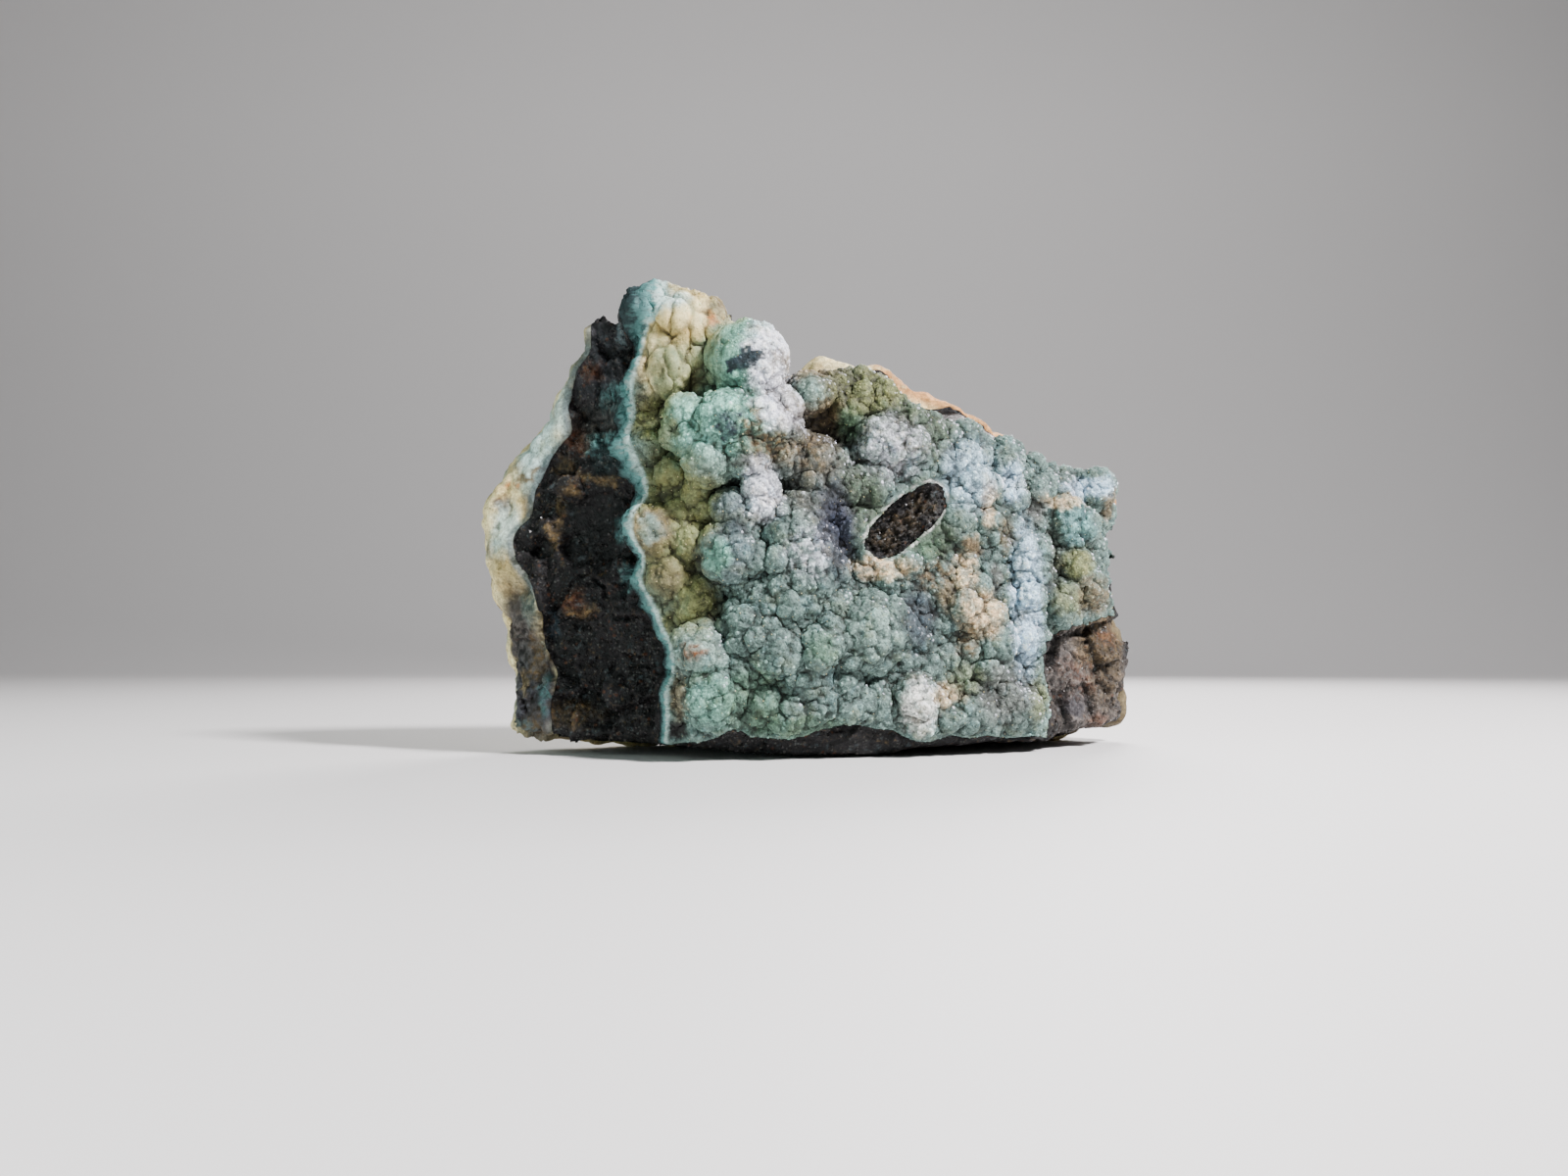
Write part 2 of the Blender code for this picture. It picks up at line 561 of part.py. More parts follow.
def bud(point, size):
    """Height from 0 to 1 of rounded buds packed side by side."""
    nearest = noise.voronoi(point / size)[0][0]
    return max(0.0, 1.0 - nearest * nearest)


def roughen(obj):
    """Give the crusts their buds and the broken rock its ledges."""
    mesh = obj.data
    count = len(mesh.vertices)
    places = np.empty(count * 3)
    normals = np.empty(count * 3)
    mesh.vertices.foreach_get("co", places)
    mesh.vertices.foreach_get("normal", normals)
    places = places.reshape(count, 3)
    normals = normals.reshape(count, 3)
    x, y, z = (places / MM).T
    front = (y < crust_contact(x, z)) & (x > smooth_line(RIDGE, z) - smooth_line(EDGE_BAND, z))
    front &= ~in_outline(x, z, BARE_PATCH)
    back = (y > back_contact(x, z)) | (x < left_edge(z) + smooth_line(LEFT_BAND, z))
    heights = np.zeros(count)
    for index in range(count):
        point = Vector((x[index], y[index], z[index]))
        if front[index]:
            heights[index] = BUD_HEIGHT * bud(point, BUD_SIZE)
        elif back[index]:
            heights[index] = BACK_BUD_HEIGHT * (bud(point, BACK_BUD_SIZE) - BACK_BUD_MIDDLE)
        else:
            wear = noise.fractal(point / ROCK_SIZE, ROCK_DECAY, ROCK_LACUNARITY, ROCK_OCTAVES)
            heights[index] = ROCK_HEIGHT * wear
    places += normals * heights[:, None] * MM
    mesh.vertices.foreach_set("co", places.ravel())
    mesh.update()


def make_body(cutters):
    """Grow the nodules onto the rough block and give the whole its surface."""
    body = rough_block(cutters)
    nodules = make_nodules(cutters)
    bm = bmesh.new()
    bm.from_mesh(body.data)
    bm.from_mesh(nodules.data)
    bm.to_mesh(body.data)
    bm.free()
    remesh = body.modifiers.new("fuse", "REMESH")
    remesh.mode = "VOXEL"
    remesh.voxel_size = VOXEL * MM
    settle(body)
    roughen(body)
    reduce_to(body, TRIANGLES)
    pit_floor = float(front_face(*OVAL_CENTRE)) + OVAL_DEPTH
    pit = oval_block("oval_pit", cutters, 0.0, NEAR, pit_floor)
    boolean(body, pit, "DIFFERENCE")
    floor = outline_block("floor", cutters, FLOOR_OUTLINE, sight=False)
    return boolean(body, floor, "DIFFERENCE")


def reduce_to(obj, triangles):
    """Thin a mesh to a number of triangles."""
    obj.data.calc_loop_triangles()
    thin = obj.modifiers.new("thin", "DECIMATE")
    thin.ratio = triangles / len(obj.data.loop_triangles)
    settle(obj)


def keep_largest(obj):
    """Drop slivers and crumbs that a cut leaves on the piece or beside it."""
    bm = bmesh.new()
    bm.from_mesh(obj.data)
    bmesh.ops.triangulate(bm, faces=bm.faces)
    bmesh.ops.remove_doubles(bm, verts=bm.verts, dist=SLIVER * MM)
    bmesh.ops.dissolve_degenerate(bm, dist=SLIVER * MM, edges=bm.edges)
    waiting = set(bm.faces)
    groups = []
    while waiting:
        group = [waiting.pop()]
        for face in group:
            beside = {other for edge in face.edges if edge.is_manifold for other in edge.link_faces}
            beside &= waiting
            waiting -= beside
            group.extend(beside)
        groups.append(group)
    largest = max(groups, key=len)
    crumbs = [face for group in groups if group is not largest for face in group]
    bmesh.ops.delete(bm, geom=crumbs, context="FACES")
    bm.to_mesh(obj.data)
    bm.free()


def make_material(name, colour, roughness, metallic):
    """Make a Principled material of one colour."""
    material = bpy.data.materials.new(name)
    material.use_nodes = True
    shader = material.node_tree.nodes["Principled BSDF"]
    shader.inputs["Base Color"].default_value = (*colour, 1.0)
    shader.inputs["Roughness"].default_value = roughness
    shader.inputs["Metallic"].default_value = metallic
    return material


def split_body(body, specimen, cutters):
    """Part the body into the rock and its two crusts, with a gap along each contact."""
    crust = duplicate(body, "kidwellite_crust", specimen)
    boolean(crust, front_block("front_room", cutters, 0.0), "INTERSECT")
    back = duplicate(body, "back_crust", specimen)
    boolean(back, back_block("back_room", cutters, 0.0), "INTERSECT")
    boolean(back, front_block("front_clearance", cutters, GAP), "DIFFERENCE")
    rock = duplicate(body, "goethite_matrix", specimen)
    boolean(rock, bpy.data.objects["front_clearance"], "DIFFERENCE")
    boolean(rock, back_block("back_clearance", cutters, GAP), "DIFFERENCE")
    return [rock, crust, back]


def centre_on_base(pieces):
    """Move the pieces so that the origin is the bottom centre of them all."""
    points = np.array([vert.co[:] for piece in pieces for vert in piece.data.vertices])
    low, high = points.min(axis=0), points.max(axis=0)
    middle = (low + high) / 2
    for piece in pieces:
        piece.data.transform(Matrix.Translation((-middle[0], -middle[1], -low[2])))


def build():
    """Model the specimen."""
    clear_scene()
    specimen = make_collection(SPECIMEN)
    cutters = make_collection("cutters")
    body = make_body(cutters)
    pieces = split_body(body, specimen, cutters)
    for piece in pieces:
        keep_largest(piece)
        colour, roughness, metallic = FINISHES[piece.name]
        piece.data.materials.clear()
        piece.data.materials.append(make_material(piece.name, colour, roughness, metallic))
    centre_on_base(pieces)
    for cutter in cutters.objects:
        cutter.hide_render = True
        cutter.display_type = "WIRE"


build()
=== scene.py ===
"""Finished look of a kidwellite specimen: dark goethite with a botryoidal crust in front and a pale one behind.

Lengths in the fields are millimetres. In the design frame X runs right, Y away from the viewer and
Z up, with the ridge of the break near y = 0. Finished meshes are in metres, moved so that they lie
where the solids of the frame lie.
"""

import json
import logging
import math
from dataclasses import dataclass
from enum import Enum
from typing import Callable

import bmesh
import bpy
import numpy as np
from mathutils import Matrix, Vector

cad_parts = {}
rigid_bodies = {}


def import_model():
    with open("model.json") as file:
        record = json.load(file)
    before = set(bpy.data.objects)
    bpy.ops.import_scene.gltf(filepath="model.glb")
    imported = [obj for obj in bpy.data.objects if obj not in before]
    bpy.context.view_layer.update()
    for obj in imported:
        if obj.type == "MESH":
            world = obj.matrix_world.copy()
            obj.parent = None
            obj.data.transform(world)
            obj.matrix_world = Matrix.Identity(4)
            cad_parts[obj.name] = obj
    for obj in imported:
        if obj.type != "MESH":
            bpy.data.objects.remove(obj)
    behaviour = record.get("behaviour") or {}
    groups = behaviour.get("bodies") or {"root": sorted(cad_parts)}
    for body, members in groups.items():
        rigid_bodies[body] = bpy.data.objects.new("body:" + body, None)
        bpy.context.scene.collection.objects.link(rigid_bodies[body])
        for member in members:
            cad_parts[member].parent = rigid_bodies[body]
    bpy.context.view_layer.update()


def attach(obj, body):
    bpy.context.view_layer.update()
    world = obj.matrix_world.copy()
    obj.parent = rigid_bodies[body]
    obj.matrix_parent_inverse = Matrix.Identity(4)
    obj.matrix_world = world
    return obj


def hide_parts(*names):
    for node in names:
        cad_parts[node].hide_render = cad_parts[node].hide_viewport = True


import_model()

MM = 0.001
LOG = logging.getLogger("specimen")

Array = np.ndarray
Pair = tuple[float, float]
Spot = tuple[float, float, float, float]
Lobe = tuple[float, float, float, float, float, float]
Colour = tuple[float, float, float]


def smooth_line(knots: tuple[Pair, ...], at: Array | float) -> Array:
    """Read a smooth line through knots.

    Args:
        knots: (position, value) pairs in rising order of position.
        at: positions to read.

    Returns:
        The values there, level beyond both ends.
    """
    line = np.array(knots, dtype=float)
    place, value = line[:, 0], line[:, 1]
    slope = np.gradient(value, place)
    at = np.clip(at, place[0], place[-1])
    left = np.clip(np.searchsorted(place, at) - 1, 0, len(place) - 2)
    width = place[left + 1] - place[left]
    t = (at - place[left]) / width
    rise = (2 * t**3 - 3 * t**2 + 1) * value[left] + (3 * t**2 - 2 * t**3) * value[left + 1]
    return rise + width * ((t**3 - 2 * t**2 + t) * slope[left] + (t**3 - t**2) * slope[left + 1])


def ramp(value: Array | float, low: float, high: float) -> Array:
    """Rise smoothly from 0 at low to 1 at high.

    Args:
        value: what is judged.
        low: where the rise starts.
        high: where it ends.

    Returns:
        Values from 0 to 1.
    """
    t = np.clip((value - low) / (high - low), 0.0, 1.0)
    return t * t * (3 - 2 * t)


def wobble(x: Array, y: Array, z: Array, size: float, seed: float) -> Array:
    """Cheap smooth noise.

    Args:
        x: places along X.
        y: places along Y.
        z: places along Z.
        size: length of one wave.
        seed: number that tells one noise from another.

    Returns:
        Values between about -1 and 1.
    """
    total = np.zeros(np.shape(x))
    for step, (a, b, c) in enumerate(((1.0, 0.3, 0.6), (-0.5, 0.9, 0.8), (0.7, -0.8, 0.4), (0.2, 0.5, -1.1))):
        pitch = (1.0 + 0.37 * step) * 2.0 * math.pi / size
        total += np.sin(pitch * (a * x + b * y + c * z) + seed * (1.7 + step)) / 4.0
    return total


def soft_oval(x: Array, z: Array, zone: Spot, power: float = 2.0) -> Array:
    """Fade from 1 inside an upright oval zone to 0 outside it.

    Args:
        x: places.
        z: heights.
        zone: its middle (x, z), half width and half height.
        power: how sharp its border is.

    Returns:
        Values from 0 to 1.
    """
    centre_x, centre_z, half_width, half_height = zone
    return np.exp(-((((x - centre_x) / half_width) ** 2 + ((z - centre_z) / half_height) ** 2) ** power))


def ragged(outline: tuple[Pair, ...], step: float, amount: float) -> tuple[Pair, ...]:
    """Make the sides of a clockwise outline wander outwards.

    Args:
        outline: its corners.
        step: length of one new side.
        amount: how far it wanders.

    Returns:
        The new corners.
    """
    corners = []
    for (x0, z0), (x1, z1) in zip(outline, outline[1:] + outline[:1]):
        length = math.hypot(x1 - x0, z1 - z0)
        pieces = max(1, round(length / step)) if length < 8.0 else 1
        for index in range(pieces):
            x = x0 + (x1 - x0) * index / pieces
            z = z0 + (z1 - z0) * index / pieces
            away = amount * (1.0 + float(wobble(x, z, x, 1.9, 1.0)) + 0.6 * float(wobble(z, x, z, 0.9, 5.0)))
            corners.append((x - away * (z1 - z0) / length, z + away * (x1 - x0) / length))
    return tuple(corners)


@dataclass(frozen=True)
class Form:
    """The whole specimen's outline, faces and contacts, as depth over (x, z)."""

    origin: tuple[float, float, float] = (3.8187, 13.2818, 0.0)
    eye_distance: float = 138.0
    eye_height: float = 11.6
    near: float = -14.0
    far: float = 46.0
    reach: float = 52.0
    left: float = -36.0
    right: float = 42.0
    top_edge: tuple[Pair, ...] = (
        (-18.5, 39.8), (-18.3, 41.8), (-15.6, 42.4), (-15.0, 43.8), (-13.2, 45.2), (-9.5, 44.2),
        (-7.5, 43.2), (-5.4, 41.3), (-4.8, 40.3), (-2.3, 39.2), (0.3, 37.3), (3.2, 37.7),
        (8.8, 36.6), (10.9, 35.5), (12.9, 34.7), (15.6, 33.2), (18.1, 31.7), (19.6, 30.5),
        (21.7, 29.4), (24.0, 27.8), (26.3, 26.8), (28.4, 26.8), (30.0, 25.8),
    )
    right_edge: tuple[Pair, ...] = (
        (30.6, 24.2), (30.4, 22.5), (29.3, 21.0), (29.7, 18.6), (30.7, 13.4), (31.6, 9.9),
        (31.8, 8.3), (31.6, 5.1), (31.2, 4.0),
    )
    base_edge: tuple[Pair, ...] = (
        (28.0, 3.2), (24.4, 2.1), (20.4, 1.8), (12.9, 1.3), (9.2, 0.7), (0.0, 0.6), (-3.7, 0.9),
        (-11.0, 1.6), (-18.7, 2.2), (-23.5, 2.8), (-25.5, 3.0),
    )
    left_outline: tuple[Pair, ...] = (
        (-25.3, 4.7), (-24.8, 7.5), (-25.5, 9.9), (-26.7, 14.6), (-27.0, 17.9), (-27.7, 20.6),
        (-28.2, 22.2), (-27.5, 23.8), (-25.9, 26.6), (-24.3, 29.4), (-21.4, 31.8), (-20.9, 34.6),
        (-20.1, 37.4),
    )
    front_plan: tuple[Pair, ...] = (
        (-18.0, 1.2), (-11.0, 0.0), (-4.0, 0.2), (4.0, 1.2), (12.0, 3.4), (20.0, 7.2),
        (28.0, 12.2), (34.0, 17.0), (40.0, 23.0),
    )
    back_plan: tuple[Pair, ...] = (
        (-34.0, 8.5), (-30.0, 11.5), (-25.0, 16.5), (-10.0, 24.0), (5.0, 27.5), (20.0, 30.0),
        (32.0, 31.0), (38.0, 28.5), (42.0, 26.0),
    )
    front_lean: float = 0.10
    lean_height: float = 20.0
    foot_height: float = 2.4
    foot_slope: float = 0.9
    back_waist: float = 16.0
    back_curve: float = 0.011
    ridge: tuple[Pair, ...] = (
        (1.7, -11.1), (4.2, -10.9), (6.6, -10.9), (8.3, -10.3), (10.7, -10.5), (12.6, -11.5),
        (14.6, -12.3), (17.0, -13.5), (19.1, -13.2), (21.1, -14.1), (23.0, -14.1), (25.0, -13.1),
        (26.6, -13.2), (28.6, -14.1), (30.9, -14.9), (32.6, -14.4), (35.0, -14.5), (38.2, -13.7),
        (42.1, -12.9), (44.3, -12.7),
    )
    edge_drop: float = 1.6
    edge_width: float = 1.0
    break_slope: float = 0.44
    break_dishes: tuple[Spot, ...] = (
        (-18.2, 22.3, 3.2, 2.0), (-19.0, 8.5, 4.2, 1.0), (-18.6, 34.5, 2.2, 0.7),
        (-23.0, 14.5, 2.6, -0.9), (-21.5, 26.5, 2.4, -0.8), (-15.0, 13.0, 2.4, -0.6),
    )
    edge_band: tuple[Pair, ...] = (
        (1.0, 0.7), (12.0, 0.9), (16.0, 1.1), (19.5, 0.9), (22.0, 1.1), (25.5, 1.2), (28.0, 1.6),
        (30.0, 1.6), (31.5, 1.1), (34.0, 1.2), (37.5, 0.8), (39.5, 1.0), (41.0, 2.2), (42.5, 2.8), (46.0, 3.0),
    )
    edge_fans: tuple[tuple[float, float, float], ...] = (
        (35.7, 0.9, 1.7), (32.9, 1.0, 1.2), (29.5, 0.9, 2.7), (27.4, 0.8, 1.2), (24.2, 0.5, 0.5),
        (21.9, 0.5, 1.2), (17.4, 0.7, 1.2), (14.6, 0.5, 0.7), (11.6, 0.5, 0.6), (9.0, 0.6, 0.5),
    )
    left_band: tuple[Pair, ...] = (
        (0.0, 4.1), (5.0, 3.9), (12.0, 4.0), (16.5, 3.9), (18.9, 2.5), (21.3, 3.0), (23.3, 4.3),
        (25.7, 3.4), (30.0, 2.8), (33.0, 1.2), (36.0, 0.8), (46.0, 0.7),
    )
    crust_foot: tuple[Pair, ...] = (
        (-14.0, 1.7), (-6.0, 2.4), (-4.9, 2.9), (-3.7, 2.5), (2.3, 2.5), (3.5, 3.0), (7.4, 3.2),
        (9.0, 2.8), (11.8, 1.9), (13.0, 1.5), (15.5, 2.0), (19.0, 1.8), (24.0, 1.6), (45.0, 1.6),
    )
    crust_thickness: float = 1.5
    back_thickness: float = 2.6
    bare_patch: tuple[Pair, ...] = (
        (26.3, 10.7), (27.5, 11.6), (29.4, 12.4), (31.8, 12.9), (34.8, 13.7), (52.0, 16.0),
        (52.0, -6.0), (26.8, -6.0), (26.8, 1.5), (27.1, 4.5), (26.5, 8.0),
    )
    patch_depth: float = 1.5
    oval_centre: Pair = (11.8, 22.8)
    oval_half: Pair = (4.9, 2.1)
    oval_tilt: float = math.radians(41.0)
    oval_power: float = 2.5
    oval_depth: float = 1.2
    hollows: tuple[Spot, ...] = (
        (4.7, 31.6, 2.4, 2.2), (-11.9, 30.0, 2.6, 1.7), (5.8, 20.0, 2.2, 1.2), (4.6, 16.4, 1.7, 0.8),
        (9.8, 7.7, 1.7, 1.0), (6.7, 7.7, 1.1, 1.2), (26.7, 18.6, 1.1, 1.0), (21.6, 9.5, 1.0, 1.0),
        (-5.3, 14.8, 1.3, 0.8), (-4.4, 7.0, 1.3, 0.8), (1.9, 31.7, 1.3, 1.4), (15.2, 10.6, 1.1, 0.7),
    )
    top_fall: tuple[Pair, ...] = (
        (-24.0, 12.5), (-20.0, 11.4), (-12.0, 9.8), (-4.0, 3.4), (3.7, 0.0), (45.0, 0.0),
    )
    fall_start: float = 3.0
    fall_depth: float = 20.0
    rim_steps: tuple[Pair, ...] = (
        (-3.0, 0.0), (-0.5, 1.1), (5.0, 1.1), (7.5, 0.4), (9.5, 0.4), (11.5, 1.8), (20.0, 1.8), (26.0, 0.0),
    )
    rim_ease: float = 0.8
    rim_shift: float = 0.6
    rim_rounds: int = 3
    rock_dip: tuple[Pair, ...] = ((-4.0, 0.0), (-1.0, 2.0), (8.0, 2.4), (14.0, 2.2), (18.0, 0.9), (26.0, 0.0))
    rock_dip_span: Pair = (-0.1, 1.4)
    lobe_zone: Spot = (-10.0, 39.8, 5.3, 5.9)
    olive_zone: Spot = (-10.2, 21.2, 3.9, 10.5)
    skirt_zone: Spot = (14.5, 21.6, 2.6, 1.8)
    ball_zone: Spot = (-3.3, 37.7, 4.4, 4.2)
    cluster_zone: Spot = (-4.0, 30.4, 6.0, 4.8)
    dish_zone: Spot = (-18.2, 22.5, 3.1, 4.1)
    frosted_zones: tuple[Spot, ...] = (
        (-1.2, 37.6, 3.0, 4.0), (0.2, 33.2, 2.6, 2.6), (-1.9, 25.0, 2.0, 3.0), (12.9, 5.0, 2.2, 3.0),
        (24.0, 15.0, 2.0, 8.0), (31.0, 27.0, 3.4, 1.8), (10.5, 29.6, 4.4, 3.0), (22.6, 27.6, 2.0, 2.4),
    )

    def outline(self) -> tuple[Pair, ...]:
        """Give the whole outline, clockwise."""
        return self.top_edge + self.right_edge + self.base_edge + self.left_outline

    def sighted(self, x: float, z: float, y: float) -> Pair:
        """Carry an outline point along its sight line.

        Args:
            x: its place at y = 0.
            z: its height at y = 0.
            y: depth to reach.

        Returns:
            Its place and height there.
        """
        grow = (self.eye_distance + y) / self.eye_distance
        return x * grow, self.eye_height + (z - self.eye_height) * grow

    def dents(self, x: Array, z: Array, places: tuple[Spot, ...]) -> Array:
        """Add up rounded dents.

        Args:
            x: places.
            z: heights.
            places: dents as (x, z, radius, depth).

        Returns:
            Depth of the dents.
        """
        total = np.zeros(np.shape(x))
        for centre_x, centre_z, radius, depth in places:
            total += depth * np.exp(-((x - centre_x) ** 2 + (z - centre_z) ** 2) / radius**2)
        return total

    def ridge_x(self, z: Array) -> Array:
        """Place of the ridge at height z."""
        return smooth_line(self.ridge, z)

    def in_patch(self, x: Array, z: Array) -> Array:
        """Tell which places lie in the bare patch."""
        inside = np.zeros(np.shape(x), dtype=bool)
        outline = self.bare_patch
        for (x0, z0), (x1, z1) in zip(outline, outline[1:] + outline[:1]):
            crosses = (z0 > z) != (z1 > z)
            inside ^= crosses & (x < x0 + (x1 - x0) * (z - z0) / (z1 - z0 + 1e-9))
        return inside

    def front_face(self, x: Array, z: Array) -> Array:
        """Depth of the front face before its nodules grow on it."""
        depth = smooth_line(self.front_plan, x)
        depth = depth + self.front_lean * np.maximum(0.0, z - self.lean_height)
        return depth + self.foot_slope * np.maximum(0.0, self.foot_height - z)

    def break_face(self, x: Array, z: Array) -> Array:
        """Depth of the broken face left of the ridge."""
        ridge = self.ridge_x(z)
        away = ridge - x
        depth = self.front_face(ridge, z) + self.edge_drop * np.clip(away / self.edge_width, 0.0, 1.0)
        depth = depth + self.break_slope * np.maximum(0.0, away - self.edge_width)
        return depth + self.dents(x, z, self.break_dishes)

    def near_face(self, x: Array, z: Array) -> Array:
        """Depth of the whole near side."""
        face = self.front_face(x, z) + self.dents(x, z, self.hollows)
        face = face + self.patch_depth * self.in_patch(x, z)
        return np.where(x < self.ridge_x(z), self.break_face(x, z), face)

    def far_face(self, x: Array, z: Array) -> Array:
        """Depth of the back."""
        return smooth_line(self.back_plan, x) - self.back_curve * (z - self.back_waist) ** 2

    def crust_contact(self, x: Array, z: Array) -> Array:
        """Depth where the front crust meets the rock."""
        waves = 0.25 * np.sin(0.7 * x + 0.4 * z)
        return self.front_face(x, z) + self.dents(x, z, self.hollows) + self.crust_thickness + waves

    def back_contact(self, x: Array, z: Array) -> Array:
        """Depth where the back crust meets the rock."""
        return self.far_face(x, z) - self.back_thickness - 0.4 * np.sin(0.45 * x - 0.3 * z)

    def band_width(self, z: Array) -> Array:
        """Width of the broken crust edge beside the ridge, with the fans that reach into the rock."""
        width = smooth_line(self.edge_band, z)
        for centre, half_height, reach in self.edge_fans:
            width = width + reach * np.exp(-(((z - centre) / half_height) ** 2))
        return width + 0.22 * wobble(z, z, z, 9.0, 3.0) + 0.1 * wobble(z, z, z, 3.4, 1.0)

    def left_edge(self, z: Array) -> Array:
        """Place of the left outline where the break reaches it."""
        edge = tuple((height, place) for place, height in self.left_outline + self.top_edge[:1])
        return smooth_line(edge, z) * (self.eye_distance + 8.0) / self.eye_distance

    def sloping_top(self, x: Array, y: Array) -> Array:
        """Height of the top at a place in plan, before the rock is lowered below the rim."""
        grow = (self.eye_distance + y) / self.eye_distance
        line = smooth_line(tuple(sorted(self.top_edge)), x / grow)
        line = self.eye_height + (line - self.eye_height) * grow
        behind = np.maximum(0.0, y - self.fall_start) / (self.fall_depth - self.fall_start)
        return line - smooth_line(self.top_fall, x) * behind

    def rim_place(self, x: Array) -> Array:
        """Depth at which the rim of the back crust rises from the top of the rock."""
        place = self.far_face(x, self.back_waist)
        for _ in range(self.rim_rounds):
            place = self.back_contact(x, self.sloping_top(x, place) - smooth_line(self.rim_steps, x))
        return place + self.rim_shift

    def top_height(self, x: Array, y: Array) -> Array:
        """Height of the top at a place in plan."""
        top = self.sloping_top(x, y)
        lowered = 1.0 - ramp(y - self.rim_place(x), 0.0, self.rim_ease)
        dip = smooth_line(self.rock_dip, x) * ramp(y - self.crust_contact(x, top), *self.rock_dip_span)
        return top - (smooth_line(self.rim_steps, x) + dip) * lowered

    def oval_distance(self, x: Array, z: Array) -> Array:
        """Distance from the oval's rim, in millimetres, negative inside."""
        across, up = x - self.oval_centre[0], z - self.oval_centre[1]
        turn_cos, turn_sin = math.cos(self.oval_tilt), math.sin(self.oval_tilt)
        length = across * turn_cos + up * turn_sin
        width = up * turn_cos - across * turn_sin
        power = self.oval_power
        scaled = np.abs(length / self.oval_half[0]) ** power + np.abs(width / self.oval_half[1]) ** power
        scaled = scaled ** (1.0 / power)
        gradient = np.hypot(length / self.oval_half[0] ** 2, width / self.oval_half[1] ** 2) / (scaled + 1e-6)
        return (scaled - 1.0) / (gradient + 1e-6)


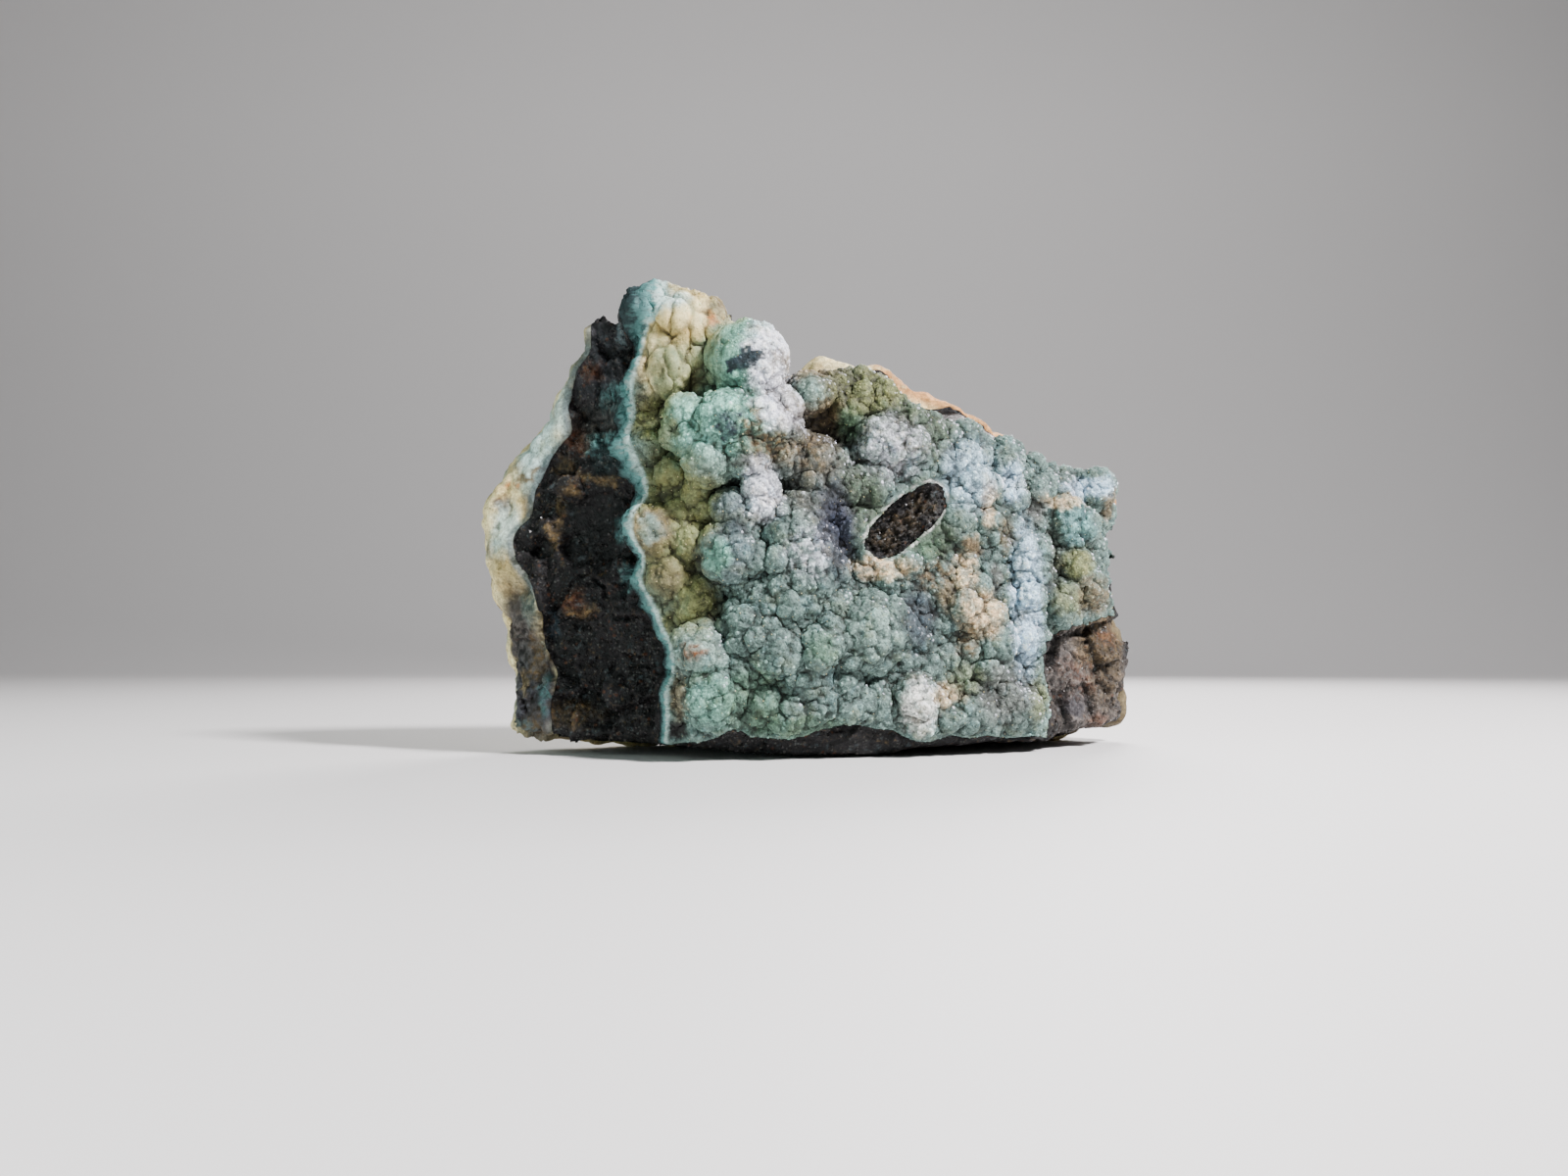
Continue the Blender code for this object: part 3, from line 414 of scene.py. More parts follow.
@dataclass(frozen=True)
class Nodules:
    """Nodules of the front crust, as (x, z, radius, height of the centre above the face)."""

    apex: tuple[Spot, ...] = ((-13.5, 43.5, 1.6, 0.2), (-14.3, 41.9, 1.2, 0.0), (-14.4, 42.8, 1.3, 0.2), (-14.9, 41.6, 0.9, -0.4))
    great_ball: tuple[Spot, ...] = ((-3.3, 37.7, 3.6, 1.8), (-3.1, 35.1, 1.3, 3.2), (-3.4, 36.0, 2.6, 0.2))
    raspberry: tuple[Spot, ...] = (
        (-5.3, 31.7, 2.7, 3.4), (-2.4, 31.6, 2.5, 3.0), (-9.1, 32.5, 1.8, 2.2), (-10.6, 30.4, 1.0, 2.0),
        (-8.5, 30.0, 1.5, 2.8), (-7.1, 27.8, 2.2, 2.6), (-3.6, 28.7, 2.2, 2.8), (-0.4, 33.1, 1.9, 2.2),
        (0.1, 31.0, 1.6, 2.2), (-0.2, 28.7, 1.9, 1.4), (-4.2, 30.6, 3.4, 1.0), (-8.6, 30.6, 2.2, 0.8),
    )
    left_column: tuple[Spot, ...] = (
        (-8.4, 25.2, 1.2, 0.6), (-7.6, 23.4, 0.8, 0.6), (-9.8, 23.4, 1.0, 0.5), (-12.3, 21.5, 2.3, 0.2),
        (-10.7, 17.3, 1.8, 0.0), (-9.1, 20.5, 1.7, 0.0), (-8.6, 15.1, 1.9, -0.4), (-10.7, 27.1, 1.3, 0.0),
        (-13.0, 30.0, 1.1, -0.3),
    )
    rust_bulb: tuple[Spot, ...] = (
        (-8.0, 10.0, 2.4, 1.0), (-6.9, 6.2, 2.7, 1.0), (-4.9, 4.3, 1.3, 0.4), (-5.7, 3.2, 0.9, 0.3),
    )
    grey_column: tuple[Spot, ...] = (
        (-2.1, 25.7, 1.5, 2.0), (-2.2, 23.8, 1.5, 1.8), (-4.9, 23.6, 1.5, 1.0), (-4.9, 19.4, 2.6, 1.2),
        (-3.3, 18.9, 1.4, 2.2), (-0.9, 23.7, 1.2, 1.2), (-3.9, 21.7, 1.6, 1.2),
    )
    rugged_mass: tuple[Spot, ...] = (
        (2.6, 28.2, 2.6, 0.2), (5.0, 26.3, 2.2, -0.1), (3.0, 24.6, 2.2, 0.0), (0.8, 21.2, 3.2, 0.0),
        (1.6, 18.0, 4.2, -0.8), (-0.8, 18.8, 0.8, 2.4), (0.3, 15.2, 3.6, -0.3), (-2.3, 15.8, 2.4, -0.2),
        (3.2, 15.4, 2.6, -0.2),
    )
    lower_mass: tuple[Spot, ...] = (
        (-2.9, 12.3, 2.9, 0.3), (-0.8, 10.2, 2.3, 1.5), (3.2, 10.5, 1.8, 2.0), (4.4, 11.3, 2.6, 0.6),
        (-3.9, 8.5, 2.6, 0.0), (7.9, 12.0, 3.4, 0.5), (10.2, 12.6, 2.2, 0.8), (6.7, 10.1, 1.8, 1.1),
        (4.6, 13.9, 2.0, 0.2), (1.8, 8.0, 2.2, 0.6),
    )
    bottom_row: tuple[Spot, ...] = (
        (-2.2, 5.5, 1.9, 0.2), (0.6, 4.2, 1.6, 0.6), (3.3, 5.0, 1.5, 0.6), (4.3, 6.6, 1.5, 0.4),
        (5.8, 6.9, 1.6, 0.5), (6.1, 5.0, 1.4, 0.6), (8.4, 6.3, 1.2, 0.2), (8.7, 4.7, 1.2, 0.3),
        (12.7, 5.6, 2.1, 0.3), (13.3, 2.9, 1.0, 0.4), (15.8, 3.7, 1.3, 0.2), (18.2, 4.3, 1.4, 0.2),
        (20.5, 3.7, 1.4, 0.2), (23.5, 4.5, 1.9, 0.2),
    )
    upper_right: tuple[Spot, ...] = (
        (2.6, 34.7, 1.7, 0.8), (4.8, 35.4, 1.1, 0.2), (7.6, 34.6, 1.0, 0.6), (9.5, 35.0, 1.5, 0.2),
        (9.8, 33.6, 1.5, 0.2), (6.4, 33.6, 1.4, 0.0), (9.4, 30.4, 2.4, 0.4), (11.9, 30.1, 2.3, 0.4),
        (12.5, 32.3, 1.6, 0.2), (14.4, 31.6, 1.4, 0.4), (17.4, 29.3, 1.4, 0.4), (15.3, 28.6, 1.3, 0.4),
        (17.9, 27.0, 1.3, 0.5), (19.9, 26.1, 1.4, 0.6), (20.3, 22.4, 1.4, 0.6), (17.9, 23.9, 1.4, 0.4),
    )
    oval_shoulders: tuple[Spot, ...] = (
        (8.4, 25.7, 1.9, 0.0), (6.7, 21.8, 1.7, 0.0), (12.9, 27.0, 1.3, 0.0), (11.8, 18.4, 1.2, 0.3),
        (9.8, 17.2, 1.3, 0.0), (16.3, 21.9, 1.4, 0.1),
    )
    right_ridges: tuple[Spot, ...] = (
        (23.0, 28.3, 1.5, 0.4), (23.0, 25.3, 1.5, 0.5), (26.1, 26.5, 1.5, 0.2), (24.5, 20.2, 1.7, 0.6),
        (24.8, 17.3, 1.7, 0.8), (24.7, 14.3, 1.7, 0.8), (24.4, 11.6, 1.6, 0.6), (20.5, 11.8, 1.4, 0.6),
        (20.5, 8.7, 1.4, 0.7), (18.4, 16.4, 1.7, 0.3), (19.3, 13.5, 1.8, 0.4), (16.6, 14.5, 1.5, 0.2),
    )
    right_end: tuple[Spot, ...] = (
        (29.2, 23.5, 2.3, 0.2), (29.2, 18.8, 2.2, 0.1), (28.0, 15.4, 2.1, 0.2), (32.1, 16.7, 1.8, 0.2),
        (32.0, 27.2, 2.0, 0.6), (33.4, 25.2, 1.1, 0.4),
    )
    lobes: tuple[Lobe, ...] = (
        (-9.4, 41.4, 3.9, 3.2, 20, -1.4), (-11.0, 37.0, 1.6, 2.9, 8, 1.0), (-13.3, 36.2, 1.0, 2.0, -4, 0.5),
        (-12.4, 39.0, 0.9, 2.1, 12, 0.6), (-8.1, 38.2, 1.2, 2.1, 14, 0.2), (-9.6, 39.6, 1.0, 1.6, 24, 0.9),
        (-7.2, 40.4, 1.0, 1.4, 30, 0.3), (-10.6, 42.4, 1.1, 1.3, 10, 1.0), (-6.6, 38.6, 1.0, 1.5, 0, -0.2),
        (-8.4, 42.0, 1.0, 1.2, 30, 0.7),
    )

    def balls(self) -> tuple[Spot, ...]:
        """Give all the round nodules."""
        return (
            self.apex + self.great_ball + self.raspberry + self.left_column + self.rust_bulb + self.grey_column
            + self.rugged_mass + self.lower_mass + self.bottom_row + self.upper_right
            + self.oval_shoulders + self.right_ridges + self.right_end
        )


class Wire:
    """An output socket that arithmetic can be done with."""

    def __init__(self, graph: "Graph", socket: bpy.types.NodeSocket) -> None:
        """Keep the socket and the graph that it belongs to."""
        self.graph = graph
        self.socket = socket

    def _with(self, operation: str, first: "Wire | float", second: "Wire | float") -> "Wire":
        """Add one Math node."""
        return self.graph.node("ShaderNodeMath", {"operation": operation}, {0: first, 1: second})["Value"]

    def __add__(self, other: "Wire | float") -> "Wire":
        """Sum."""
        return self._with("ADD", self, other)

    def __radd__(self, other: float) -> "Wire":
        """Sum, the other way round."""
        return self._with("ADD", other, self)

    def __sub__(self, other: "Wire | float") -> "Wire":
        """Difference."""
        return self._with("SUBTRACT", self, other)

    def __rsub__(self, other: float) -> "Wire":
        """Difference, the other way round."""
        return self._with("SUBTRACT", other, self)

    def __mul__(self, other: "Wire | float") -> "Wire":
        """Product."""
        return self._with("MULTIPLY", self, other)

    def __rmul__(self, other: float) -> "Wire":
        """Product, the other way round."""
        return self._with("MULTIPLY", other, self)

    def __pow__(self, other: "Wire | float") -> "Wire":
        """Power."""
        return self._with("POWER", self, other)

    def most(self, other: "Wire | float") -> "Wire":
        """The larger of two values."""
        return self._with("MAXIMUM", self, other)

    def least(self, other: "Wire | float") -> "Wire":
        """The smaller of two values."""
        return self._with("MINIMUM", self, other)


class Made:
    """A node whose outputs are read by name."""

    def __init__(self, graph: "Graph", node: bpy.types.Node) -> None:
        """Keep the node and its graph."""
        self.graph = graph
        self.node = node

    def __getitem__(self, name: str | int) -> Wire:
        """Give one output as a wire."""
        return Wire(self.graph, self.graph.socket(self.node.outputs, name))


class Graph:
    """A node tree under construction."""

    def __init__(self, tree: bpy.types.NodeTree) -> None:
        """Keep the tree."""
        self.tree = tree

    @staticmethod
    def socket(sockets: bpy.types.bpy_prop_collection, name: str | int) -> bpy.types.NodeSocket:
        """Find a socket by index, identifier or visible name.

        Args:
            sockets: a node's inputs or outputs.
            name: which one.

        Returns:
            The socket.
        """
        if isinstance(name, int):
            return sockets[name]
        for one in sockets:
            if one.identifier == name or (one.name == name and one.enabled):
                return one
        raise KeyError(name)

    def node(self, kind: str, settings: dict | None = None, inputs: dict | None = None) -> Made:
        """Add a node.

        Args:
            kind: its type.
            settings: properties, set first.
            inputs: socket values or wires, by index, identifier or name.

        Returns:
            The node, for its outputs.
        """
        node = self.tree.nodes.new(kind)
        for name, value in (settings or {}).items():
            setattr(node, name, value)
        for name, value in (inputs or {}).items():
            target = self.socket(node.inputs, name)
            if isinstance(value, Wire):
                self.tree.links.new(value.socket, target)
            else:
                target.default_value = value
        return Made(self, node)

    def vector(self, operation: str, first: Wire | tuple, second: Wire | tuple | float) -> Wire:
        """Add a Vector Math node.

        Args:
            operation: its operation.
            first: first vector.
            second: second vector, or the factor of SCALE.

        Returns:
            The vector result, or the value of DOT_PRODUCT.
        """
        key = "Scale" if operation == "SCALE" else 1
        made = self.node("ShaderNodeVectorMath", {"operation": operation}, {0: first, key: second})
        return made["Value" if operation in ("DOT_PRODUCT", "LENGTH") else "Vector"]

    def mix(self, factor: Wire | float, first: Wire | Colour, second: Wire | Colour, blend: str = "MIX") -> Wire:
        """Mix two colours.

        Args:
            factor: share of the second.
            first: first colour.
            second: second colour.
            blend: blend type.

        Returns:
            The colour.
        """
        first = first if isinstance(first, Wire) else (*first, 1.0)
        second = second if isinstance(second, Wire) else (*second, 1.0)
        settings = {"data_type": "RGBA", "blend_type": blend, "clamp_factor": True}
        inputs = {"Factor_Float": factor, "A_Color": first, "B_Color": second}
        return self.node("ShaderNodeMix", settings, inputs)["Result_Color"]

    def step(self, value: Wire, low: float, high: float) -> Wire:
        """Rise smoothly from 0 at low to 1 at high.

        Args:
            value: what is judged.
            low: where the rise starts.
            high: where it ends.

        Returns:
            Values from 0 to 1.
        """
        settings = {"interpolation_type": "SMOOTHSTEP"}
        inputs = {"Value": value, "From Min": low, "From Max": high}
        return self.node("ShaderNodeMapRange", settings, inputs)["Result"]

    def over(self, value: Wire) -> Wire:
        """Give one over a value."""
        return self.node("ShaderNodeMath", {"operation": "DIVIDE"}, {0: 1.0, 1: value})["Value"]

    def noise(self, place: Wire, size: float, detail: float = 3.0) -> Wire:
        """Read a noise.

        Args:
            place: where, in millimetres.
            size: length of one wave, in millimetres.
            detail: how many finer waves ride on it.

        Returns:
            Values about 0.5.
        """
        inputs = {"Vector": place, "Scale": 1.0 / size, "Detail": detail, "Roughness": 0.6}
        return self.node("ShaderNodeTexNoise", {"noise_dimensions": "3D"}, inputs)["Fac"]

    def cells(self, place: Wire, size: float) -> Made:
        """Read a pattern of cells.

        Args:
            place: where, in millimetres.
            size: width of one cell, in millimetres.

        Returns:
            The Voronoi node, for its Distance, Color and Position.
        """
        settings = {"voronoi_dimensions": "3D", "feature": "F1"}
        return self.node("ShaderNodeTexVoronoi", settings, {"Vector": place, "Scale": 1.0 / size})


class Growth:
    """A Geometry Nodes tree with named inputs that ends in realized geometry with a material."""

    def __init__(self, name: str) -> None:
        """Start the tree with its geometry sockets."""
        self.tree = bpy.data.node_groups.new(name, "GeometryNodeTree")
        self.tree.interface.new_socket("Geometry", in_out="INPUT", socket_type="NodeSocketGeometry")
        self.tree.interface.new_socket("Geometry", in_out="OUTPUT", socket_type="NodeSocketGeometry")
        self.graph = Graph(self.tree)
        self.entry = self.graph.node("NodeGroupInput")
        self.sizes: dict[str, str] = {}
        self.values: dict[str, float] = {}

    def size(self, name: str, value: float) -> Wire:
        """Add a named number.

        Args:
            name: its name.
            value: its value.

        Returns:
            The number as a wire.
        """
        socket = self.tree.interface.new_socket(name, in_out="INPUT", socket_type="NodeSocketFloat")
        self.sizes[name] = socket.identifier
        self.values[name] = value
        return self.entry[socket.identifier]

    def attribute(self, name: str, kind: str = "FLOAT") -> Wire:
        """Read a mesh attribute."""
        node = self.graph.node("GeometryNodeInputNamedAttribute", {"data_type": kind}, {"Name": name})
        return node["Attribute"]

    def close(self, geometry: Wire, material: bpy.types.Material) -> None:
        """End the tree.

        Args:
            geometry: what it makes.
            material: the finish of all its faces.
        """
        real = self.graph.node("GeometryNodeRealizeInstances", None, {"Geometry": geometry})["Geometry"]
        dressed = self.graph.node(
            "GeometryNodeSetMaterial", None, {"Geometry": real, "Material": material}
        )["Geometry"]
        self.graph.node("NodeGroupOutput", None, {0: dressed})

    def grow_on(self, obj: bpy.types.Object) -> bpy.types.Object:
        """Run the tree on an object and keep the plain mesh that it makes.

        Args:
            obj: the object.

        Returns:
            The same object with its new mesh.
        """
        modifier = obj.modifiers.new(self.tree.name, "NODES")
        modifier.node_group = self.tree
        for name, identifier in self.sizes.items():
            modifier[identifier] = self.values[name]
        return settle(obj)


def settle(obj: bpy.types.Object) -> bpy.types.Object:
    """Replace an object's mesh by what its modifiers make of it.

    Args:
        obj: the object.

    Returns:
        The same object, with no modifier left.
    """
    mesh = bpy.data.meshes.new_from_object(obj.evaluated_get(bpy.context.evaluated_depsgraph_get()))
    obj.modifiers.clear()
    obj.data = mesh
    return obj


def finish_mesh(name: str, bm: bmesh.types.BMesh) -> bpy.types.Object:
    """Turn a closed bmesh, its faces pointing out, into an object.

    Args:
        name: the object's name.
        bm: the bmesh, freed here.

    Returns:
        The object, linked to the scene.
    """
    bmesh.ops.recalc_face_normals(bm, faces=list(bm.faces))
    if bm.calc_volume(signed=True) < 0.0:
        bmesh.ops.reverse_faces(bm, faces=list(bm.faces))
    mesh = bpy.data.meshes.new(name)
    bm.to_mesh(mesh)
    bm.free()
    obj = bpy.data.objects.new(name, mesh)
    bpy.context.scene.collection.objects.link(obj)
    return obj


def slab(name: str, columns: int, rows: int, place: Callable[[Array, Array], tuple]) -> bpy.types.Object:
    """Close a block between two surfaces over one grid.

    Args:
        name: the object's name.
        columns: faces along the first direction.
        rows: faces along the second.
        place: gives near and far points, in millimetres, for grid places from 0 to 1.

    Returns:
        The block.
    """
    bm = bmesh.new()
    bmesh.ops.create_grid(bm, x_segments=columns, y_segments=rows, size=0.5)
    lifted = bmesh.ops.extrude_face_region(bm, geom=list(bm.faces), use_keep_orig=True)
    far_verts = [part for part in lifted["geom"] if isinstance(part, bmesh.types.BMVert)]
    bm.verts.index_update()
    far = np.zeros(len(bm.verts), dtype=bool)
    far[[vert.index for vert in far_verts]] = True
    grid = np.array([vert.co[:] for vert in bm.verts]) + 0.5
    near_points, far_points = place(grid[:, 0], grid[:, 1])
    points = np.where(far[:, None], np.stack(far_points, axis=1), np.stack(near_points, axis=1))
    for vert, point in zip(bm.verts, points):
        vert.co = Vector(point) * MM
    bmesh.ops.triangulate(bm, faces=bm.faces, quad_method="FIXED")
    return finish_mesh(name, bm)


def outline_block(name: str, outline: tuple[Pair, ...], form: Form, sight: bool = True) -> bpy.types.Object:
    """Extrude a flat outline through the specimen.

    Args:
        name: the object's name.
        outline: (x, z) points.
        form: the specimen's form, for its sight lines and room.
        sight: whether the walls follow the sight lines.

    Returns:
        The block.
    """
    bm = bmesh.new()
    rings = []
    for depth in (form.near - 2.0, form.far + 2.0):
        points = [form.sighted(x, z, depth) if sight else (x, z) for x, z in outline]
        rings.append([bm.verts.new(Vector((x, depth, z)) * MM) for x, z in points])
    near, far = rings
    bm.faces.new(near)
    bm.faces.new(list(reversed(far)))
    for index, corner in enumerate(near):
        following = (index + 1) % len(near)
        bm.faces.new((near[following], corner, far[index], far[following]))
    bmesh.ops.triangulate(bm, faces=bm.faces)
    return finish_mesh(name, bm)


def boolean(obj: bpy.types.Object, cutter: bpy.types.Object, operation: str) -> bpy.types.Object:
    """Cut an object with another one, and remove the cutter.

    Args:
        obj: what is cut.
        cutter: what cuts it.
        operation: INTERSECT or DIFFERENCE.

    Returns:
        The object.
    """
    step = obj.modifiers.new(operation.lower(), "BOOLEAN")
    step.operation = operation
    step.solver = "MANIFOLD"
    step.object = cutter
    settle(obj)
    bpy.data.objects.remove(cutter, do_unlink=True)
    return obj


def duplicate(obj: bpy.types.Object, name: str) -> bpy.types.Object:
    """Copy an object with its mesh.

    Args:
        obj: what is copied.
        name: the copy's name.

    Returns:
        The copy.
    """
    twin = obj.copy()
    twin.data = obj.data.copy()
    twin.name = name
    bpy.context.scene.collection.objects.link(twin)
    return twin


def join_meshes(obj: bpy.types.Object, other: bpy.types.Object) -> None:
    """Add the mesh of another object to one, and remove the other."""
    bm = bmesh.new()
    bm.from_mesh(obj.data)
    bm.from_mesh(other.data)
    bm.to_mesh(obj.data)
    bm.free()
    bpy.data.objects.remove(other, do_unlink=True)


def remesh(obj: bpy.types.Object, voxel: float) -> bpy.types.Object:
    """Fuse all closed shapes of an object into one skin.

    Args:
        obj: the object.
        voxel: edge of one voxel, in millimetres.

    Returns:
        The object.
    """
    fuse = obj.modifiers.new("fuse", "REMESH")
    fuse.mode = "VOXEL"
    fuse.voxel_size = voxel * MM
    return settle(obj)


def keep_largest(obj: bpy.types.Object) -> None:
    """Drop the crumbs that a cut leaves beside a piece."""
    bm = bmesh.new()
    bm.from_mesh(obj.data)
    waiting = set(bm.faces)
    groups = []
    while waiting:
        group = [waiting.pop()]
        for face in group:
            for edge in face.edges:
                for other in edge.link_faces:
                    if other in waiting:
                        waiting.remove(other)
                        group.append(other)
        groups.append(group)
    largest = max(groups, key=len)
    crumbs = [face for group in groups if group is not largest for face in group]
    bmesh.ops.delete(bm, geom=crumbs, context="FACES")
    bm.to_mesh(obj.data)
    bm.free()


class Skin:
    """The points of a mesh as arrays, in millimetres of the design frame."""

    def __init__(self, obj: bpy.types.Object) -> None:
        """Read the mesh of an object that is still in the design frame."""
        self.mesh = obj.data
        count = len(self.mesh.vertices)
        places = np.empty(count * 3)
        normals = np.empty(count * 3)
        self.mesh.vertices.foreach_get("co", places)
        self.mesh.vertices.foreach_get("normal", normals)
        self.places = places.reshape(count, 3) / MM
        self.normals = normals.reshape(count, 3)
        ends = np.empty(len(self.mesh.edges) * 2, dtype=np.int64)
        self.mesh.edges.foreach_get("vertices", ends)
        self.ends = ends.reshape(-1, 2)
        self.x, self.y, self.z = self.places.T

    def average(self, values: Array, rounds: int) -> Array:
        """Average values over neighbours.

        Args:
            values: one row or number for each point.
            rounds: how many times.

        Returns:
            The averaged values.
        """
        first, second = self.ends.T
        count = len(self.places)
        share = np.bincount(first, minlength=count) + np.bincount(second, minlength=count) + 1.0
        table = np.array(values, dtype=float).reshape(count, -1)
        for _ in range(rounds):
            for column in range(table.shape[1]):
                one = table[:, column]
                total = one + np.bincount(first, one[second], count) + np.bincount(second, one[first], count)
                table[:, column] = total / share
        return table.reshape(np.shape(values))

    def cavity(self, rounds: int) -> Array:
        """Tell how far each point lies below its neighbourhood.

        Args:
            rounds: how wide the neighbourhood is.

        Returns:
            Millimetres, positive in hollows.
        """
        return np.sum((self.average(self.places, rounds) - self.places) * self.normals, axis=1)

    def store(self, name: str, values: Array) -> None:
        """Keep a number or a colour for each point in the mesh.

        Args:
            name: the attribute's name.
            values: numbers, or rows of three for a colour.
        """
        if np.ndim(values) == 1:
            self.mesh.attributes.new(name, "FLOAT", "POINT").data.foreach_set("value", values.astype(np.float32))
            return
        rows = np.concatenate([values, np.ones((len(values), 1))], axis=1)
        attribute = self.mesh.attributes.new(name, "FLOAT_COLOR", "POINT")
        attribute.data.foreach_set("color", rows.astype(np.float32).ravel())


def srgb(red: float, green: float, blue: float) -> Colour:
    """Turn a screen colour from 0 to 255 into a linear one."""
    return tuple(((value / 255.0 + 0.055) / 1.055) ** 2.4 for value in (red, green, blue))


class Tint(Enum):
    """Colours that the rock and its crusts take from place to place; the near black one is also painted shade in pits
    and holes.
    """

    SAGE = srgb(86, 106, 101)
    MINT = srgb(98, 146, 130)
    GREEN = srgb(72, 102, 80)
    CELADON = srgb(110, 132, 124)
    OLIVE = srgb(100, 102, 58)
    STRAW = srgb(174, 154, 98)
    CREAM = srgb(214, 200, 150)
    TAN = srgb(104, 88, 62)
    PEACH = srgb(198, 172, 134)
    ORANGE = srgb(176, 110, 50)
    RUST = srgb(112, 66, 34)
    BROWN = srgb(62, 52, 36)
    UMBER = srgb(72, 44, 28)
    LOAM = srgb(92, 76, 48)
    # near black: the bare matrix's own colour, and also painted shade in pits and holes
    SHADOW = srgb(22, 18, 18)
    SLATE = srgb(30, 42, 48)
    TEAL = srgb(84, 128, 128)
    BLUE = srgb(178, 206, 228)
    GREY = srgb(84, 98, 102)
    LILAC = srgb(226, 227, 240)
    PURPLE = srgb(46, 50, 62)
    WHITE = srgb(242, 240, 234)
    PALE = srgb(186, 212, 206)
    STONE = srgb(64, 66, 72)
    TAUPE = srgb(82, 77, 73)
    COAL = srgb(10, 9, 10)
    TURQUOISE = srgb(84, 130, 128)
    DEEP = srgb(26, 42, 44)
    MOSS = srgb(112, 122, 90)
    DUST = srgb(86, 88, 84)
    AQUA = srgb(122, 172, 157)
    FERN = srgb(64, 76, 60)
    INK = srgb(6, 6, 8)


@dataclass(frozen=True)
class Patch:
    """A soft-edged place of one colour on a face seen from the front."""

    x: float
    z: float
    half_width: float
    half_height: float
    tint: Tint
    share: float
    broken: float = 0.0
    crisp: float = 0.0


def lay_patches(skin: Skin, ground: Array, patches: tuple[Patch, ...], seed: float) -> Array:
    """Lay patches with wandering borders over a ground colour, later ones on top.

    Args:
        skin: the points.
        ground: their colours so far, one row each.
        patches: what is laid.
        seed: tells one set of borders from another.

    Returns:
        The new colours.
    """
    x, y, z = skin.x, skin.y, skin.z
    across = x + 0.5 * wobble(x, y, z, 3.1, seed) + 0.3 * wobble(x, y, z, 1.1, seed + 2)
    up = z + 0.5 * wobble(x, y, z, 3.4, seed + 5) + 0.3 * wobble(x, y, z, 1.2, seed + 7)
    speckle = ramp(wobble(x, y, z, 1.5, seed + 3) + 0.8 * wobble(z, x, y, 0.8, seed + 9), -0.2, 0.35)
    colours = ground.copy()
    for patch in patches:
        away = np.hypot((across - patch.x) / patch.half_width, (up - patch.z) / patch.half_height)
        share = patch.share * (1.0 - ramp(away, 0.5 + 0.35 * patch.crisp, 1.3 - 0.3 * patch.crisp))
        share = share * (1.0 - patch.broken * (1.0 - speckle))
        share = share[:, None]
        colours += share * (np.array(patch.tint.value) - colours)
    return colours


